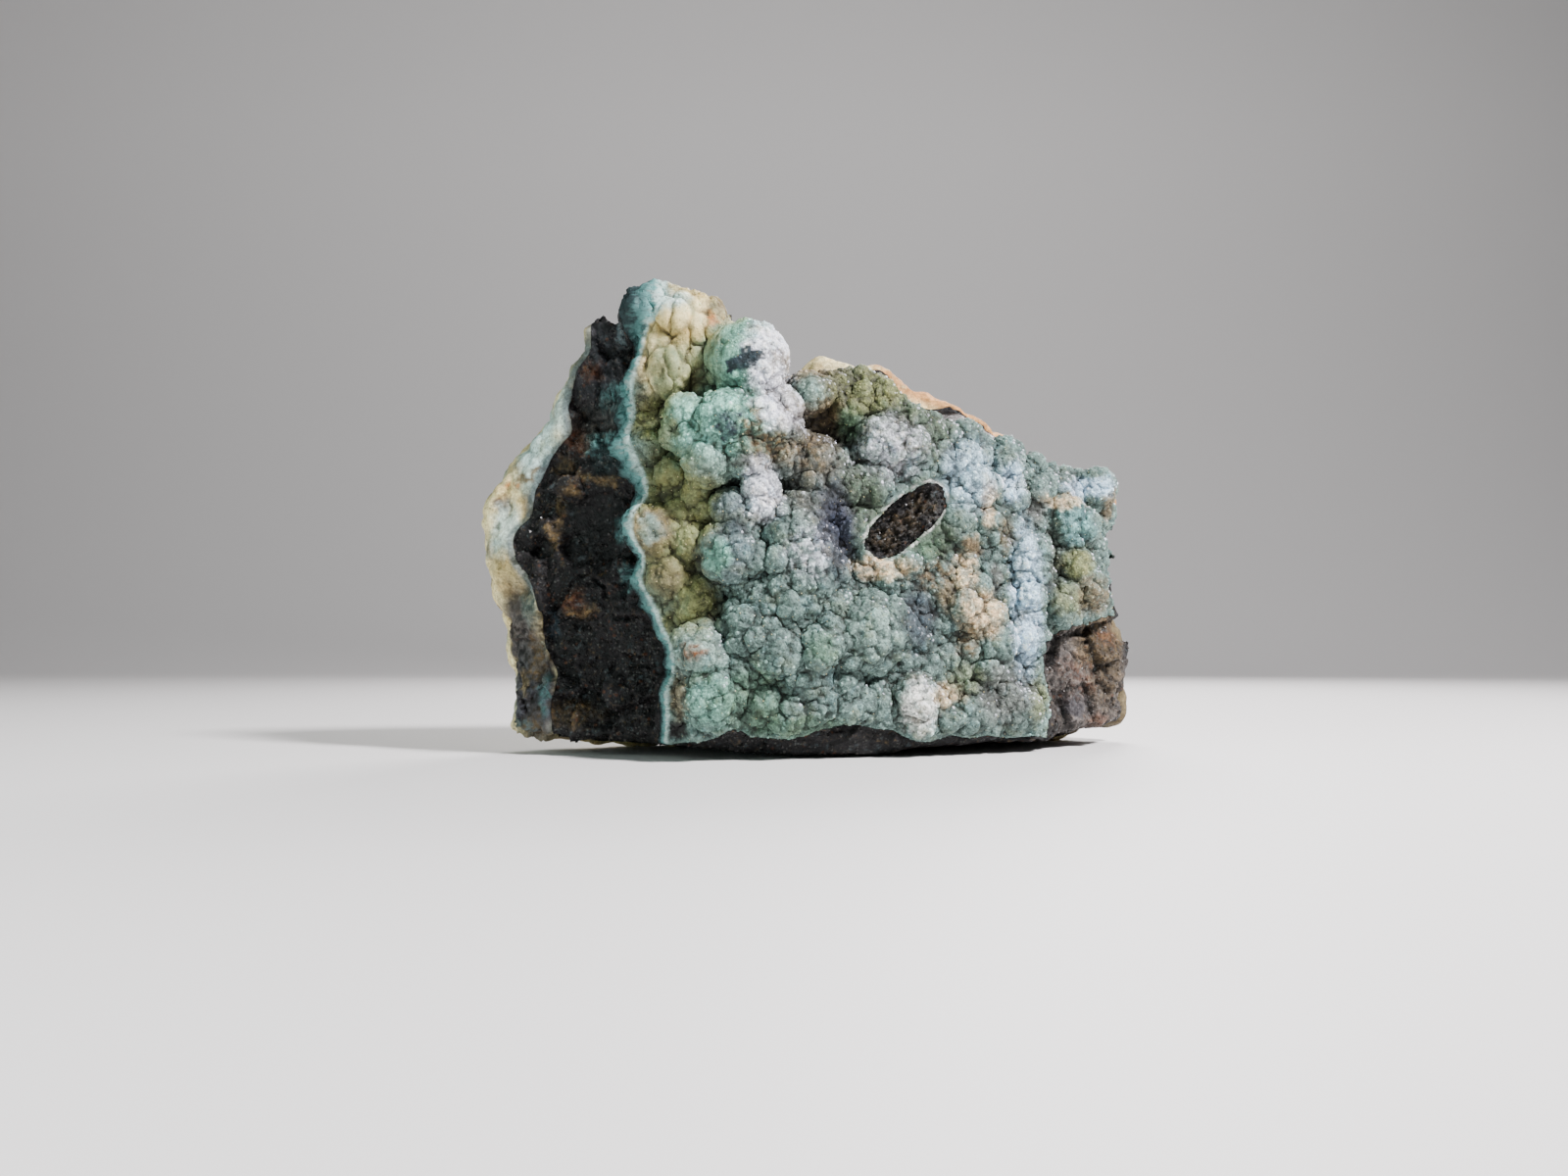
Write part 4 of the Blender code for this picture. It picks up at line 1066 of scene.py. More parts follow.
FRONT_PATCHES = (
    Patch(-9.3, 40.1, 5.8, 6.2, Tint.STRAW, 1.00),
    Patch(-8.6, 42.2, 3.2, 1.6, Tint.CREAM, 0.75),
    Patch(-12.6, 37.8, 1.0, 3.4, Tint.CREAM, 0.80),
    Patch(-13.4, 37.4, 0.7, 2.0, Tint.TAN, 0.60, 0.5),
    Patch(-10.9, 37.0, 1.9, 3.0, Tint.MOSS, 0.90),
    Patch(-7.9, 37.3, 2.0, 2.6, Tint.MOSS, 0.80),
    Patch(-6.4, 41.6, 1.1, 1.6, Tint.TAN, 0.80, 0.4),
    Patch(-11.2, 43.6, 2.2, 1.2, Tint.PALE, 0.90),
    Patch(-6.6, 41.3, 0.7, 0.8, Tint.ORANGE, 0.80),
    Patch(-5.8, 43.2, 1.5, 1.1, Tint.BROWN, 0.70),
    Patch(-11.9, 32.5, 3.2, 2.4, Tint.OLIVE, 0.90),
    Patch(-13.5, 34.0, 0.9, 1.3, Tint.BROWN, 0.50),
    Patch(-10.0, 22.7, 4.6, 9.7, Tint.OLIVE, 0.85),
    Patch(-9.2, 12.5, 2.8, 1.8, Tint.OLIVE, 0.80),
    Patch(-3.3, 38.0, 4.3, 4.3, Tint.MINT, 0.95),
    # lilac-white on the great ball's right side: frost, and painted light on the side that faces the key lamp
    Patch(-1.3, 37.6, 2.5, 3.6, Tint.LILAC, 0.80),
    Patch(-4.1, 36.9, 1.2, 0.9, Tint.SLATE, 1.00, 0.0, 0.9),
    Patch(-3.1, 37.5, 1.2, 0.9, Tint.SLATE, 1.00, 0.0, 0.9),
    Patch(-2.3, 35.4, 1.3, 0.9, Tint.LILAC, 0.60),
    Patch(-5.4, 31.3, 5.9, 4.3, Tint.MINT, 0.85),
    Patch(-7.6, 31.2, 3.2, 3.4, Tint.AQUA, 0.85),
    Patch(0.0, 33.3, 2.7, 2.8, Tint.LILAC, 0.80),
    Patch(-5.2, 30.9, 1.4, 1.7, Tint.SLATE, 1.00, 0.3, 0.8),
    Patch(-1.2, 29.0, 2.8, 1.8, Tint.LOAM, 1.00, 0.35),
    Patch(-3.4, 27.7, 2.2, 1.0, Tint.DUST, 0.80),
    Patch(-2.7, 31.1, 1.0, 2.2, Tint.TAN, 0.90, 0.8),
    Patch(-10.7, 30.6, 1.0, 1.3, Tint.MOSS, 0.75),
    Patch(-7.2, 27.9, 2.0, 1.9, Tint.CELADON, 0.60),
    Patch(-12.4, 21.5, 2.2, 2.4, Tint.TAN, 0.80),
    Patch(-12.4, 21.4, 1.2, 1.5, Tint.CELADON, 0.75),
    Patch(-10.9, 17.3, 1.8, 1.8, Tint.TAN, 0.50),
    Patch(-8.0, 15.0, 2.2, 2.2, Tint.OLIVE, 0.80),
    Patch(-8.1, 10.3, 2.9, 2.8, Tint.CELADON, 0.85),
    Patch(-8.3, 10.1, 1.3, 0.8, Tint.RUST, 0.95, 0.5),
    Patch(-6.6, 5.9, 2.5, 2.9, Tint.MINT, 0.60),
    Patch(-9.8, 5.9, 1.0, 2.4, Tint.TAN, 0.70),
    Patch(-10.1, 3.0, 1.3, 1.0, Tint.SHADOW, 0.95),
    Patch(-2.0, 25.0, 1.9, 2.8, Tint.LILAC, 0.65),
    Patch(-4.9, 23.6, 1.8, 1.7, Tint.GREY, 0.80),
    Patch(-4.4, 21.7, 1.3, 0.9, Tint.SLATE, 0.80),
    Patch(-5.3, 19.1, 2.9, 2.8, Tint.GREY, 0.85),
    Patch(-6.1, 19.0, 1.3, 1.9, Tint.MINT, 0.80),
    Patch(4.4, 34.6, 5.4, 3.6, Tint.LOAM, 0.85),
    Patch(3.2, 26.2, 3.8, 4.8, Tint.DUST, 0.80),
    Patch(3.7, 31.2, 3.4, 2.4, Tint.BROWN, 0.80),
    Patch(1.4, 37.6, 3.2, 1.1, Tint.TAN, 0.70),
    Patch(2.4, 34.9, 1.9, 1.6, Tint.CELADON, 0.90),
    Patch(6.6, 32.3, 1.6, 2.1, Tint.GREEN, 0.75),
    Patch(2.4, 28.6, 2.4, 1.9, Tint.TAN, 0.70, 0.7),
    Patch(8.6, 35.4, 4.3, 2.6, Tint.OLIVE, 0.95),
    Patch(7.0, 35.6, 4.4, 2.0, Tint.FERN, 0.50, 0.3),
    Patch(12.4, 31.6, 5.5, 3.0, Tint.FERN, 0.85),
    Patch(10.2, 29.6, 3.4, 3.2, Tint.LILAC, 0.50, 0.7),
    Patch(7.3, 24.6, 2.8, 4.2, Tint.FERN, 0.90),
    Patch(4.8, 21.2, 2.2, 5.2, Tint.PURPLE, 1.00),
    Patch(9.4, 18.1, 3.2, 1.1, Tint.PEACH, 0.95, 0.7),
    Patch(14.2, 21.4, 3.2, 2.3, Tint.FERN, 0.95),
    Patch(13.6, 20.4, 2.0, 1.2, Tint.GREEN, 0.50),
    Patch(0.6, 16.2, 5.0, 5.6, Tint.SAGE, 0.60),
    Patch(2.2, 19.4, 2.2, 2.6, Tint.LILAC, 0.35, 0.8),
    Patch(3.2, 10.5, 4.3, 3.2, Tint.SAGE, 0.50),
    Patch(3.5, 10.5, 1.6, 1.6, Tint.GREEN, 0.60),
    Patch(8.4, 12.5, 3.2, 3.2, Tint.CELADON, 0.60),
    Patch(13.0, 13.5, 1.9, 3.6, Tint.PURPLE, 0.75),
    Patch(17.5, 17.8, 1.4, 2.2, Tint.PEACH, 0.95, 0.7),
    Patch(19.2, 13.7, 2.4, 2.4, Tint.PEACH, 1.00, 0.6),
    Patch(17.9, 11.2, 1.2, 1.8, Tint.TAN, 0.90, 0.6),
    Patch(14.6, 17.6, 2.2, 1.6, Tint.TAN, 0.80, 0.8),
    Patch(15.7, 15.6, 0.9, 1.6, Tint.TAN, 0.70),
    Patch(20.9, 17.2, 0.8, 1.8, Tint.DUST, 0.80),
    Patch(20.1, 24.6, 0.8, 2.6, Tint.PEACH, 0.85, 0.5),
    Patch(22.0, 21.9, 0.9, 2.0, Tint.TAN, 0.80, 0.5),
    Patch(12.9, 5.0, 1.8, 2.8, Tint.WHITE, 0.85, 0.6),
    Patch(15.8, 6.1, 1.8, 1.2, Tint.PEACH, 0.90, 0.5),
    Patch(-2.8, 5.9, 3.3, 3.3, Tint.GREEN, 0.60),
    Patch(0.9, 3.1, 5.2, 1.3, Tint.GREEN, 0.60),
    Patch(18.2, 27.6, 3.0, 3.6, Tint.BLUE, 0.45),
    Patch(22.8, 27.0, 1.3, 2.3, Tint.BLUE, 0.80),
    Patch(18.4, 20.6, 1.1, 1.0, Tint.TAN, 0.95),
    Patch(24.0, 15.0, 1.6, 8.3, Tint.BLUE, 0.90),
    Patch(29.5, 23.1, 2.2, 2.8, Tint.TEAL, 0.65),
    Patch(29.9, 19.1, 2.0, 1.8, Tint.OLIVE, 0.80),
    Patch(31.3, 27.0, 2.9, 1.1, Tint.BLUE, 0.85),
    Patch(34.0, 25.5, 0.9, 1.6, Tint.TAN, 0.80),
    Patch(27.4, 20.1, 1.0, 4.2, Tint.BROWN, 0.55),
    Patch(28.4, 25.3, 2.6, 0.8, Tint.PEACH, 0.90, 0.5),
    Patch(25.4, 24.6, 1.2, 1.8, Tint.DUST, 0.80),
    Patch(28.9, 15.4, 2.2, 1.9, Tint.OLIVE, 0.60),
    Patch(31.9, 15.9, 2.5, 2.2, Tint.TAN, 0.80, 0.4),
    Patch(25.3, 5.5, 1.2, 2.6, Tint.OLIVE, 0.60),
    Patch(21.6, 6.0, 3.4, 3.4, Tint.DUST, 0.80),
    Patch(17.6, 7.6, 2.0, 1.6, Tint.MOSS, 0.60),
    # painted shade in a dark pit
    Patch(26.4, 16.6, 0.6, 1.0, Tint.SHADOW, 0.60),
)
ROCK_PATCHES = (
    Patch(-18.0, 22.0, 3.4, 4.4, Tint.INK, 0.95),
    Patch(-18.6, 10.0, 4.6, 7.0, Tint.INK, 0.75),
    # darker along the foot of the rock: painted shade at the base
    Patch(-3.0, 0.5, 9.0, 1.6, Tint.INK, 0.90),
    Patch(14.0, 0.3, 12.0, 1.6, Tint.INK, 0.90),
    # paler upper part of the break: painted reflection of the sky's sheen on the glossy rock
    Patch(-18.2, 37.5, 2.6, 4.6, Tint.STONE, 0.55, 0.5),
    Patch(-22.6, 21.4, 0.6, 1.9, Tint.LOAM, 0.80, 0.5),
    Patch(-21.9, 23.8, 0.6, 1.5, Tint.LOAM, 0.80, 0.5),
    Patch(-20.6, 25.9, 0.9, 0.7, Tint.LOAM, 0.85, 0.4),
    Patch(-18.9, 27.0, 1.5, 0.5, Tint.LOAM, 0.85, 0.4),
    Patch(-17.0, 26.7, 1.3, 0.5, Tint.LOAM, 0.85, 0.4),
    Patch(-17.3, 30.3, 2.2, 1.3, Tint.TEAL, 1.00, 0.6),
    Patch(-16.9, 28.7, 1.9, 1.3, Tint.DEEP, 0.90, 0.2),
    Patch(-16.7, 34.9, 1.5, 1.5, Tint.TEAL, 1.00, 0.6),
    Patch(-16.9, 33.4, 1.2, 1.4, Tint.DEEP, 0.80, 0.3),
    Patch(-15.4, 22.0, 0.9, 1.6, Tint.TEAL, 0.60, 0.6),
    Patch(-14.9, 17.2, 0.7, 1.6, Tint.TEAL, 0.50, 0.6),
    Patch(-21.5, 28.4, 1.3, 1.0, Tint.LOAM, 0.60, 0.6),
    Patch(-20.0, 30.6, 1.4, 1.3, Tint.UMBER, 0.80, 0.3),
    Patch(-18.7, 37.6, 1.1, 1.1, Tint.UMBER, 0.90, 0.3),
    Patch(-18.6, 33.0, 2.6, 2.2, Tint.TAUPE, 0.50, 0.7),
    Patch(-20.4, 15.0, 1.4, 1.2, Tint.UMBER, 0.70, 0.4),
    Patch(-19.4, 14.0, 1.6, 0.7, Tint.LOAM, 0.50, 0.5),
    Patch(-22.6, 13.0, 0.5, 1.5, Tint.SLATE, 0.90),
    Patch(-20.6, 4.1, 3.1, 1.3, Tint.LOAM, 0.40, 0.6),
    Patch(-15.9, 41.2, 0.5, 1.3, Tint.GREY, 0.70),
    Patch(32.0, 6.9, 5.6, 6.2, Tint.TAUPE, 1.00),
    Patch(34.2, 8.6, 2.6, 5.0, Tint.BROWN, 0.90, 0.2),
    Patch(33.4, 11.2, 3.4, 3.0, Tint.BROWN, 1.00),
    Patch(34.3, 11.6, 1.4, 1.0, Tint.RUST, 0.50, 0.6),
    # painted shade in a dark hole of the bare patch
    Patch(27.7, 9.3, 0.8, 1.2, Tint.SHADOW, 0.95),
    Patch(30.2, 4.3, 1.7, 1.2, Tint.PURPLE, 0.50),
    Patch(30.6, 7.4, 2.6, 2.6, Tint.UMBER, 0.70, 0.9),
    # darker along the left border of the bare patch
    Patch(29.0, 5.6, 1.6, 2.4, Tint.SHADOW, 0.70, 0.8),
    Patch(9.9, 21.1, 1.4, 1.2, Tint.LOAM, 0.22, 0.5),
    Patch(11.8, 22.8, 1.5, 1.2, Tint.LOAM, 0.22, 0.5),
    Patch(13.6, 24.4, 1.4, 1.2, Tint.LOAM, 0.22, 0.5),
    Patch(33.1, 2.8, 1.5, 0.8, Tint.UMBER, 0.60),
    Patch(31.4, 9.7, 1.5, 1.0, Tint.TAN, 0.40, 0.4),
)
BACK_PATCHES = (
    Patch(-24.4, 30.7, 2.6, 4.8, Tint.PALE, 1.00),
    Patch(-21.7, 34.3, 1.0, 3.1, Tint.PALE, 0.80),
    Patch(-24.0, 28.1, 1.3, 0.35, Tint.TAN, 0.95),
    Patch(-25.6, 27.4, 1.3, 0.35, Tint.TAN, 0.95),
    Patch(-27.1, 26.7, 0.9, 0.4, Tint.ORANGE, 0.80),
    Patch(-28.2, 24.9, 0.8, 1.0, Tint.UMBER, 0.95),
    Patch(-27.6, 22.0, 1.7, 3.0, Tint.PALE, 0.80),
    Patch(-27.6, 18.2, 1.5, 2.1, Tint.STRAW, 0.75),
    Patch(-26.2, 11.6, 2.8, 6.4, Tint.TAUPE, 1.00),
    Patch(-24.9, 14.8, 1.1, 2.3, Tint.CELADON, 0.80, 0.5),
    Patch(-24.8, 5.4, 3.4, 5.8, Tint.STONE, 1.00),
    Patch(-25.3, 9.4, 1.4, 2.2, Tint.DUST, 0.70, 0.6),
    Patch(-25.8, 7.0, 0.5, 1.4, Tint.STRAW, 0.60, 0.4),
    Patch(-26.1, 2.7, 2.1, 0.8, Tint.TEAL, 0.40, 0.3),
    Patch(-25.0, 8.2, 3.0, 8.0, Tint.COAL, 0.85, 0.9),
    Patch(-24.4, 9.5, 0.9, 3.2, Tint.LOAM, 0.80, 0.7),
    Patch(-24.6, 2.6, 1.6, 1.6, Tint.LOAM, 0.60, 0.7),
    Patch(-23.6, 5.6, 0.6, 2.2, Tint.TEAL, 0.50, 0.5),
)


class Surface:
    """A Principled material under construction, with its place in millimetres."""

    def __init__(self, name: str, shine: float = 0.3) -> None:
        """Start the material with its name and specular level."""
        self.shine = shine
        self.material = bpy.data.materials.new(name)
        self.material.use_nodes = True
        self.material.node_tree.nodes.clear()
        self.graph = Graph(self.material.node_tree)
        self.place = self.graph.vector("SCALE", self.graph.node("ShaderNodeTexCoord")["Object"], 1.0 / MM)

    def colour(self, name: str) -> Wire:
        """Read a colour attribute."""
        return self.graph.node("ShaderNodeAttribute", {"attribute_name": name})["Color"]

    def value(self, name: str) -> Wire:
        """Read a number attribute."""
        return self.graph.node("ShaderNodeAttribute", {"attribute_name": name})["Fac"]

    def tone(self, colour: Wire, noise: Wire, swing: float) -> Wire:
        """Make a colour lighter and darker along a noise about 0.5.

        Args:
            colour: the colour.
            noise: the noise.
            swing: how strongly it acts.

        Returns:
            The colour, changed in strength but not in hue.
        """
        factor = (1.0 + (noise - 0.5) * swing).most(0.08)
        return self.graph.vector("SCALE", colour, factor)

    def stretched(self, x: float, y: float, z: float) -> Wire:
        """Give the place multiplied along each axis."""
        return self.graph.vector("MULTIPLY", self.place, (x, y, z))

    def flecks(self, size: float, channel: str, share: float) -> Wire:
        """Pick some cells of a pattern as small flecks.

        Args:
            size: width of one cell, in millimetres.
            channel: Red, Green or Blue, for different choices of cells.
            share: share of the cells that are picked.

        Returns:
            1 in the flecks.
        """
        cells = self.graph.cells(self.place, size)
        lot = self.graph.node("ShaderNodeSeparateColor", None, {"Color": cells["Color"]})[channel]
        picked = self.graph.step(lot, 1.0 - share, 1.0 - share * 0.8)
        return picked * (1.0 - self.graph.step(cells["Distance"], 0.28, 0.52))

    def facets(self, size: float) -> Wire:
        """Give the height of small flat faces that lean all ways.

        Args:
            size: width of one face, in millimetres.

        Returns:
            Heights about 0.
        """
        cells = self.graph.cells(self.place, size)
        arm = self.graph.vector("SUBTRACT", self.place, cells["Position"])
        lean = self.graph.vector("SUBTRACT", cells["Color"], (0.5, 0.5, 0.5))
        return self.graph.vector("DOT_PRODUCT", arm, lean)

    def close(self, colour: Wire, roughness: Wire | float, height: Wire, relief: float) -> bpy.types.Material:
        """End the material.

        Args:
            colour: its base colour.
            roughness: its roughness.
            height: height of its fine relief.
            relief: what one unit of height stands for, in millimetres.

        Returns:
            The material.
        """
        bump = self.graph.node("ShaderNodeBump", None, {"Height": height, "Distance": relief * MM})
        colour = self.graph.vector("MINIMUM", colour, (0.88, 0.88, 0.88))
        inputs = {
            "Base Color": colour, "Roughness": roughness, "Specular IOR Level": self.shine, "Normal": bump["Normal"],
        }
        shader = self.graph.node("ShaderNodeBsdfPrincipled", None, inputs)
        self.graph.node("ShaderNodeOutputMaterial", None, {"Surface": shader["BSDF"]})
        return self.material


@dataclass(frozen=True)
class KidwelliteFinish:
    """Granular crust: tinted ground, pale frost that is also painted light on the sides facing the key lamp, painted
    shade in hollows, painted highlight on crests and a fibrous broken edge.
    """

    mottle: float = 2.4
    fine: float = 0.55
    grit: float = 0.2
    grain: float = 0.26
    relief: float = 0.08

    def make(self) -> bpy.types.Material:
        """Build the material."""
        surface = Surface("kidwellite_frosted")
        graph, place = surface.graph, surface.place
        hollow, sugar, frost_and_lit_side = surface.value("hollow"), surface.value("sugar"), surface.value("frost_and_lit_side")
        broad = graph.noise(place, self.mottle, 4.0)
        fine = graph.noise(place, self.fine, 3.0)
        grit = graph.noise(place, self.grit, 2.0)
        lot = surface.value("lot")
        ground = surface.colour("tint")
        ground = surface.tone(ground, broad, 1.9)
        warm = graph.step(graph.noise(place, 1.7, 3.0), 0.52, 0.68)
        ground = graph.mix(warm * 0.5, ground, (1.10, 0.92, 0.68), "MULTIPLY")
        cool = graph.step(graph.noise(surface.stretched(1.0, 1.0, 0.7), 1.2, 3.0), 0.54, 0.7)
        ground = graph.mix(cool * 0.6, ground, (0.80, 1.0, 1.14), "MULTIPLY")
        ground = surface.tone(ground, fine, 1.2 * sugar + 0.7)
        # on the crust, lot is lower where grains sit, which darkens the ground there as painted shade between the
        # grains; on the grains it is a random tone for each
        ground = surface.tone(ground, lot, 1.1)
        # painted shade: darker in hollows
        depth = graph.step(hollow, -0.2, 0.95)
        ground = graph.mix(depth * 0.88, ground, (0.17, 0.15, 0.12), "MULTIPLY")
        # painted highlight: lighter on crests
        crest_highlight = graph.step(0.0 - hollow + (grit - 0.5) * 1.5, 0.25, 1.0) * (0.2 + 0.5 * sugar)
        ground = graph.mix(crest_highlight, ground, (2.0, 2.0, 1.95), "MULTIPLY")
        # lilac-white frost, which is also painted light on the sides that face the key lamp
        cold = graph.step(frost_and_lit_side + (fine - 0.5) * 1.1 + (lot - 0.5) * 0.7, 0.42, 1.0)
        ground = graph.mix(cold * 0.85, ground, Tint.LILAC.value)
        ground = surface.tone(ground, grit, 1.3 * sugar + 0.5)
        dark = surface.flecks(self.grain * 1.3, "Green", 0.22) * (0.12 + 0.22 * sugar) * (1.0 - 0.8 * cold)
        ground = graph.mix(dark, ground, (0.2, 0.2, 0.19), "MULTIPLY")
        edge, across = surface.value("edge"), surface.value("across")
        streak = graph.noise(surface.stretched(0.6, 0.6, 2.2), 0.8, 4.0)
        fibre = graph.mix(graph.step(across + (streak - 0.5) * 1.3, 0.0, 0.32), Tint.PALE.value, Tint.TURQUOISE.value)
        fibre = graph.mix(graph.step(across + (streak - 0.5) * 1.9, 0.4, 0.95), fibre, Tint.DEEP.value)
        fibre = surface.tone(fibre, streak, 3.2)
        fibre = surface.tone(fibre, broad, 1.6)
        # painted shade in the hollows of the broken edge
        fibre = graph.mix(depth * 0.7, fibre, (0.25, 0.3, 0.3), "MULTIPLY")
        ground = graph.mix(edge, ground, fibre)
        ground = graph.mix(surface.value("rim"), ground, Tint.WHITE.value)
        height = grit * 0.9 + surface.facets(self.grain) * 2.0
        height = height + surface.flecks(self.grain, "Red", 0.22) * 0.8
        return surface.close(ground, 0.5 + 0.3 * fine, height, self.relief)


@dataclass(frozen=True)
class GoethiteFinish:
    """Broken iron oxide: nearly black, with brown and rusty grains, small glints, pale flecks painted as glints,
    painted shade in hollows and raised points painted lighter.
    """

    cloud: float = 3.2
    grain: float = 0.34
    relief: float = 0.2

    def make(self) -> bpy.types.Material:
        """Build the material."""
        surface = Surface("goethite_broken", 0.24)
        graph, place = surface.graph, surface.place
        hollow, worn = surface.value("hollow"), surface.value("worn")
        cloud = graph.noise(place, self.cloud, 5.0)
        fine = graph.noise(place, 0.6, 4.0)
        grit = graph.noise(place, 0.25, 2.0)
        rough = 1.0 - 0.7 * worn
        ground = surface.tone(surface.colour("tint"), cloud, 2.6)
        ground = graph.mix(graph.step(fine, 0.56, 0.8) * 0.4 * rough, ground, Tint.LOAM.value)
        ground = surface.tone(ground, fine, 2.8)
        # painted shade: darker in hollows
        ground = graph.mix(graph.step(hollow, -0.1, 0.8) * 0.85, ground, (0.15, 0.14, 0.14), "MULTIPLY")
        # raised points lighter: worn edges, and painted highlight
        ground = graph.mix(graph.step(0.0 - hollow, 0.3, 1.0) * 0.5 * rough, ground, (2.2, 2.1, 2.0), "MULTIPLY")
        # pale flecks: painted glints
        ground = graph.mix(surface.flecks(self.grain * 0.8, "Red", 0.16) * 0.45 * rough, ground, Tint.DUST.value)
        ground = graph.mix(graph.step(graph.noise(place, 0.9, 4.0), 0.58, 0.72) * 0.3 * rough, ground, Tint.GREY.value)
        ground = graph.mix(surface.flecks(self.grain * 1.4, "Green", 0.07) * 0.22 * rough, ground, Tint.RUST.value)
        ground = graph.mix(surface.flecks(self.grain * 0.6, "Blue", 0.12) * 0.3 * rough, ground, Tint.SLATE.value)
        ground = surface.tone(ground, grit, 1.8)
        height = surface.facets(self.grain * 1.5) * 2.5 + surface.facets(self.grain * 4.0) * 1.6 + grit * 0.8
        roughness = 0.6 - 0.3 * surface.flecks(self.grain * 1.5, "Blue", 0.35)
        return surface.close(ground, roughness, height, self.relief)


@dataclass(frozen=True)
class PaleCrustFinish:
    """Pale crust: cream, tan and mint, matt, with a grey inner layer where it is broken through, and painted shade in
    its hollows.
    """

    mottle: float = 3.0
    grain: float = 0.3
    relief: float = 0.06

    def make(self) -> bpy.types.Material:
        """Build the material."""
        surface = Surface("pale_crust_matt")
        graph, place = surface.graph, surface.place
        hollow = surface.value("hollow")
        broad = graph.noise(place, self.mottle, 4.0)
        fine = graph.noise(place, 0.5, 4.0)
        grit = graph.noise(place, 0.2, 2.0)
        ground = surface.tone(surface.colour("tint"), broad, 1.5)
        warm = graph.step(graph.noise(place, 1.9, 3.0), 0.5, 0.68)
        ground = graph.mix(warm * 0.55, ground, (1.06, 0.88, 0.66), "MULTIPLY")
        ground = surface.tone(ground, fine, 2.0)
        # painted shade: darker in hollows
        ground = graph.mix(graph.step(hollow, 0.0, 0.9) * 0.75, ground, (0.25, 0.21, 0.16), "MULTIPLY")
        ground = surface.tone(ground, grit, 1.4)
        ground = graph.mix(surface.flecks(self.grain, "Green", 0.14) * 0.5, ground, (0.3, 0.26, 0.22), "MULTIPLY")
        height = grit + surface.facets(self.grain)
        return surface.close(ground, 0.62 + 0.25 * fine, height, self.relief)


@dataclass(frozen=True)
class GrainFinish:
    """Small crystal points that take the colour of what they grow on, paler by a share."""

    name: str
    pale: Colour
    share: float
    roughness: float

    def make(self) -> bpy.types.Material:
        """Build the material."""
        surface = Surface(self.name)
        graph = surface.graph
        lot = graph.noise(surface.place, 0.5, 2.0)
        share = graph.step(lot, 0.3, 0.7) * self.share
        colour = graph.mix(share, surface.colour("tint"), self.pale)
        return surface.close(colour, self.roughness, lot, 0.01)


@dataclass(frozen=True)
class BroadFloorFinish:
    """Plain pale floor."""

    colour: Colour = (0.78, 0.77, 0.76)
    roughness: float = 0.55

    def make(self) -> bpy.types.Material:
        """Build the material."""
        surface = Surface("floor_pale")
        lot = surface.graph.noise(surface.place, 400.0, 2.0)
        colour = surface.graph.mix(lot * 0.04, self.colour, (0.70, 0.70, 0.70))
        return surface.close(colour, self.roughness, lot, 0.001)


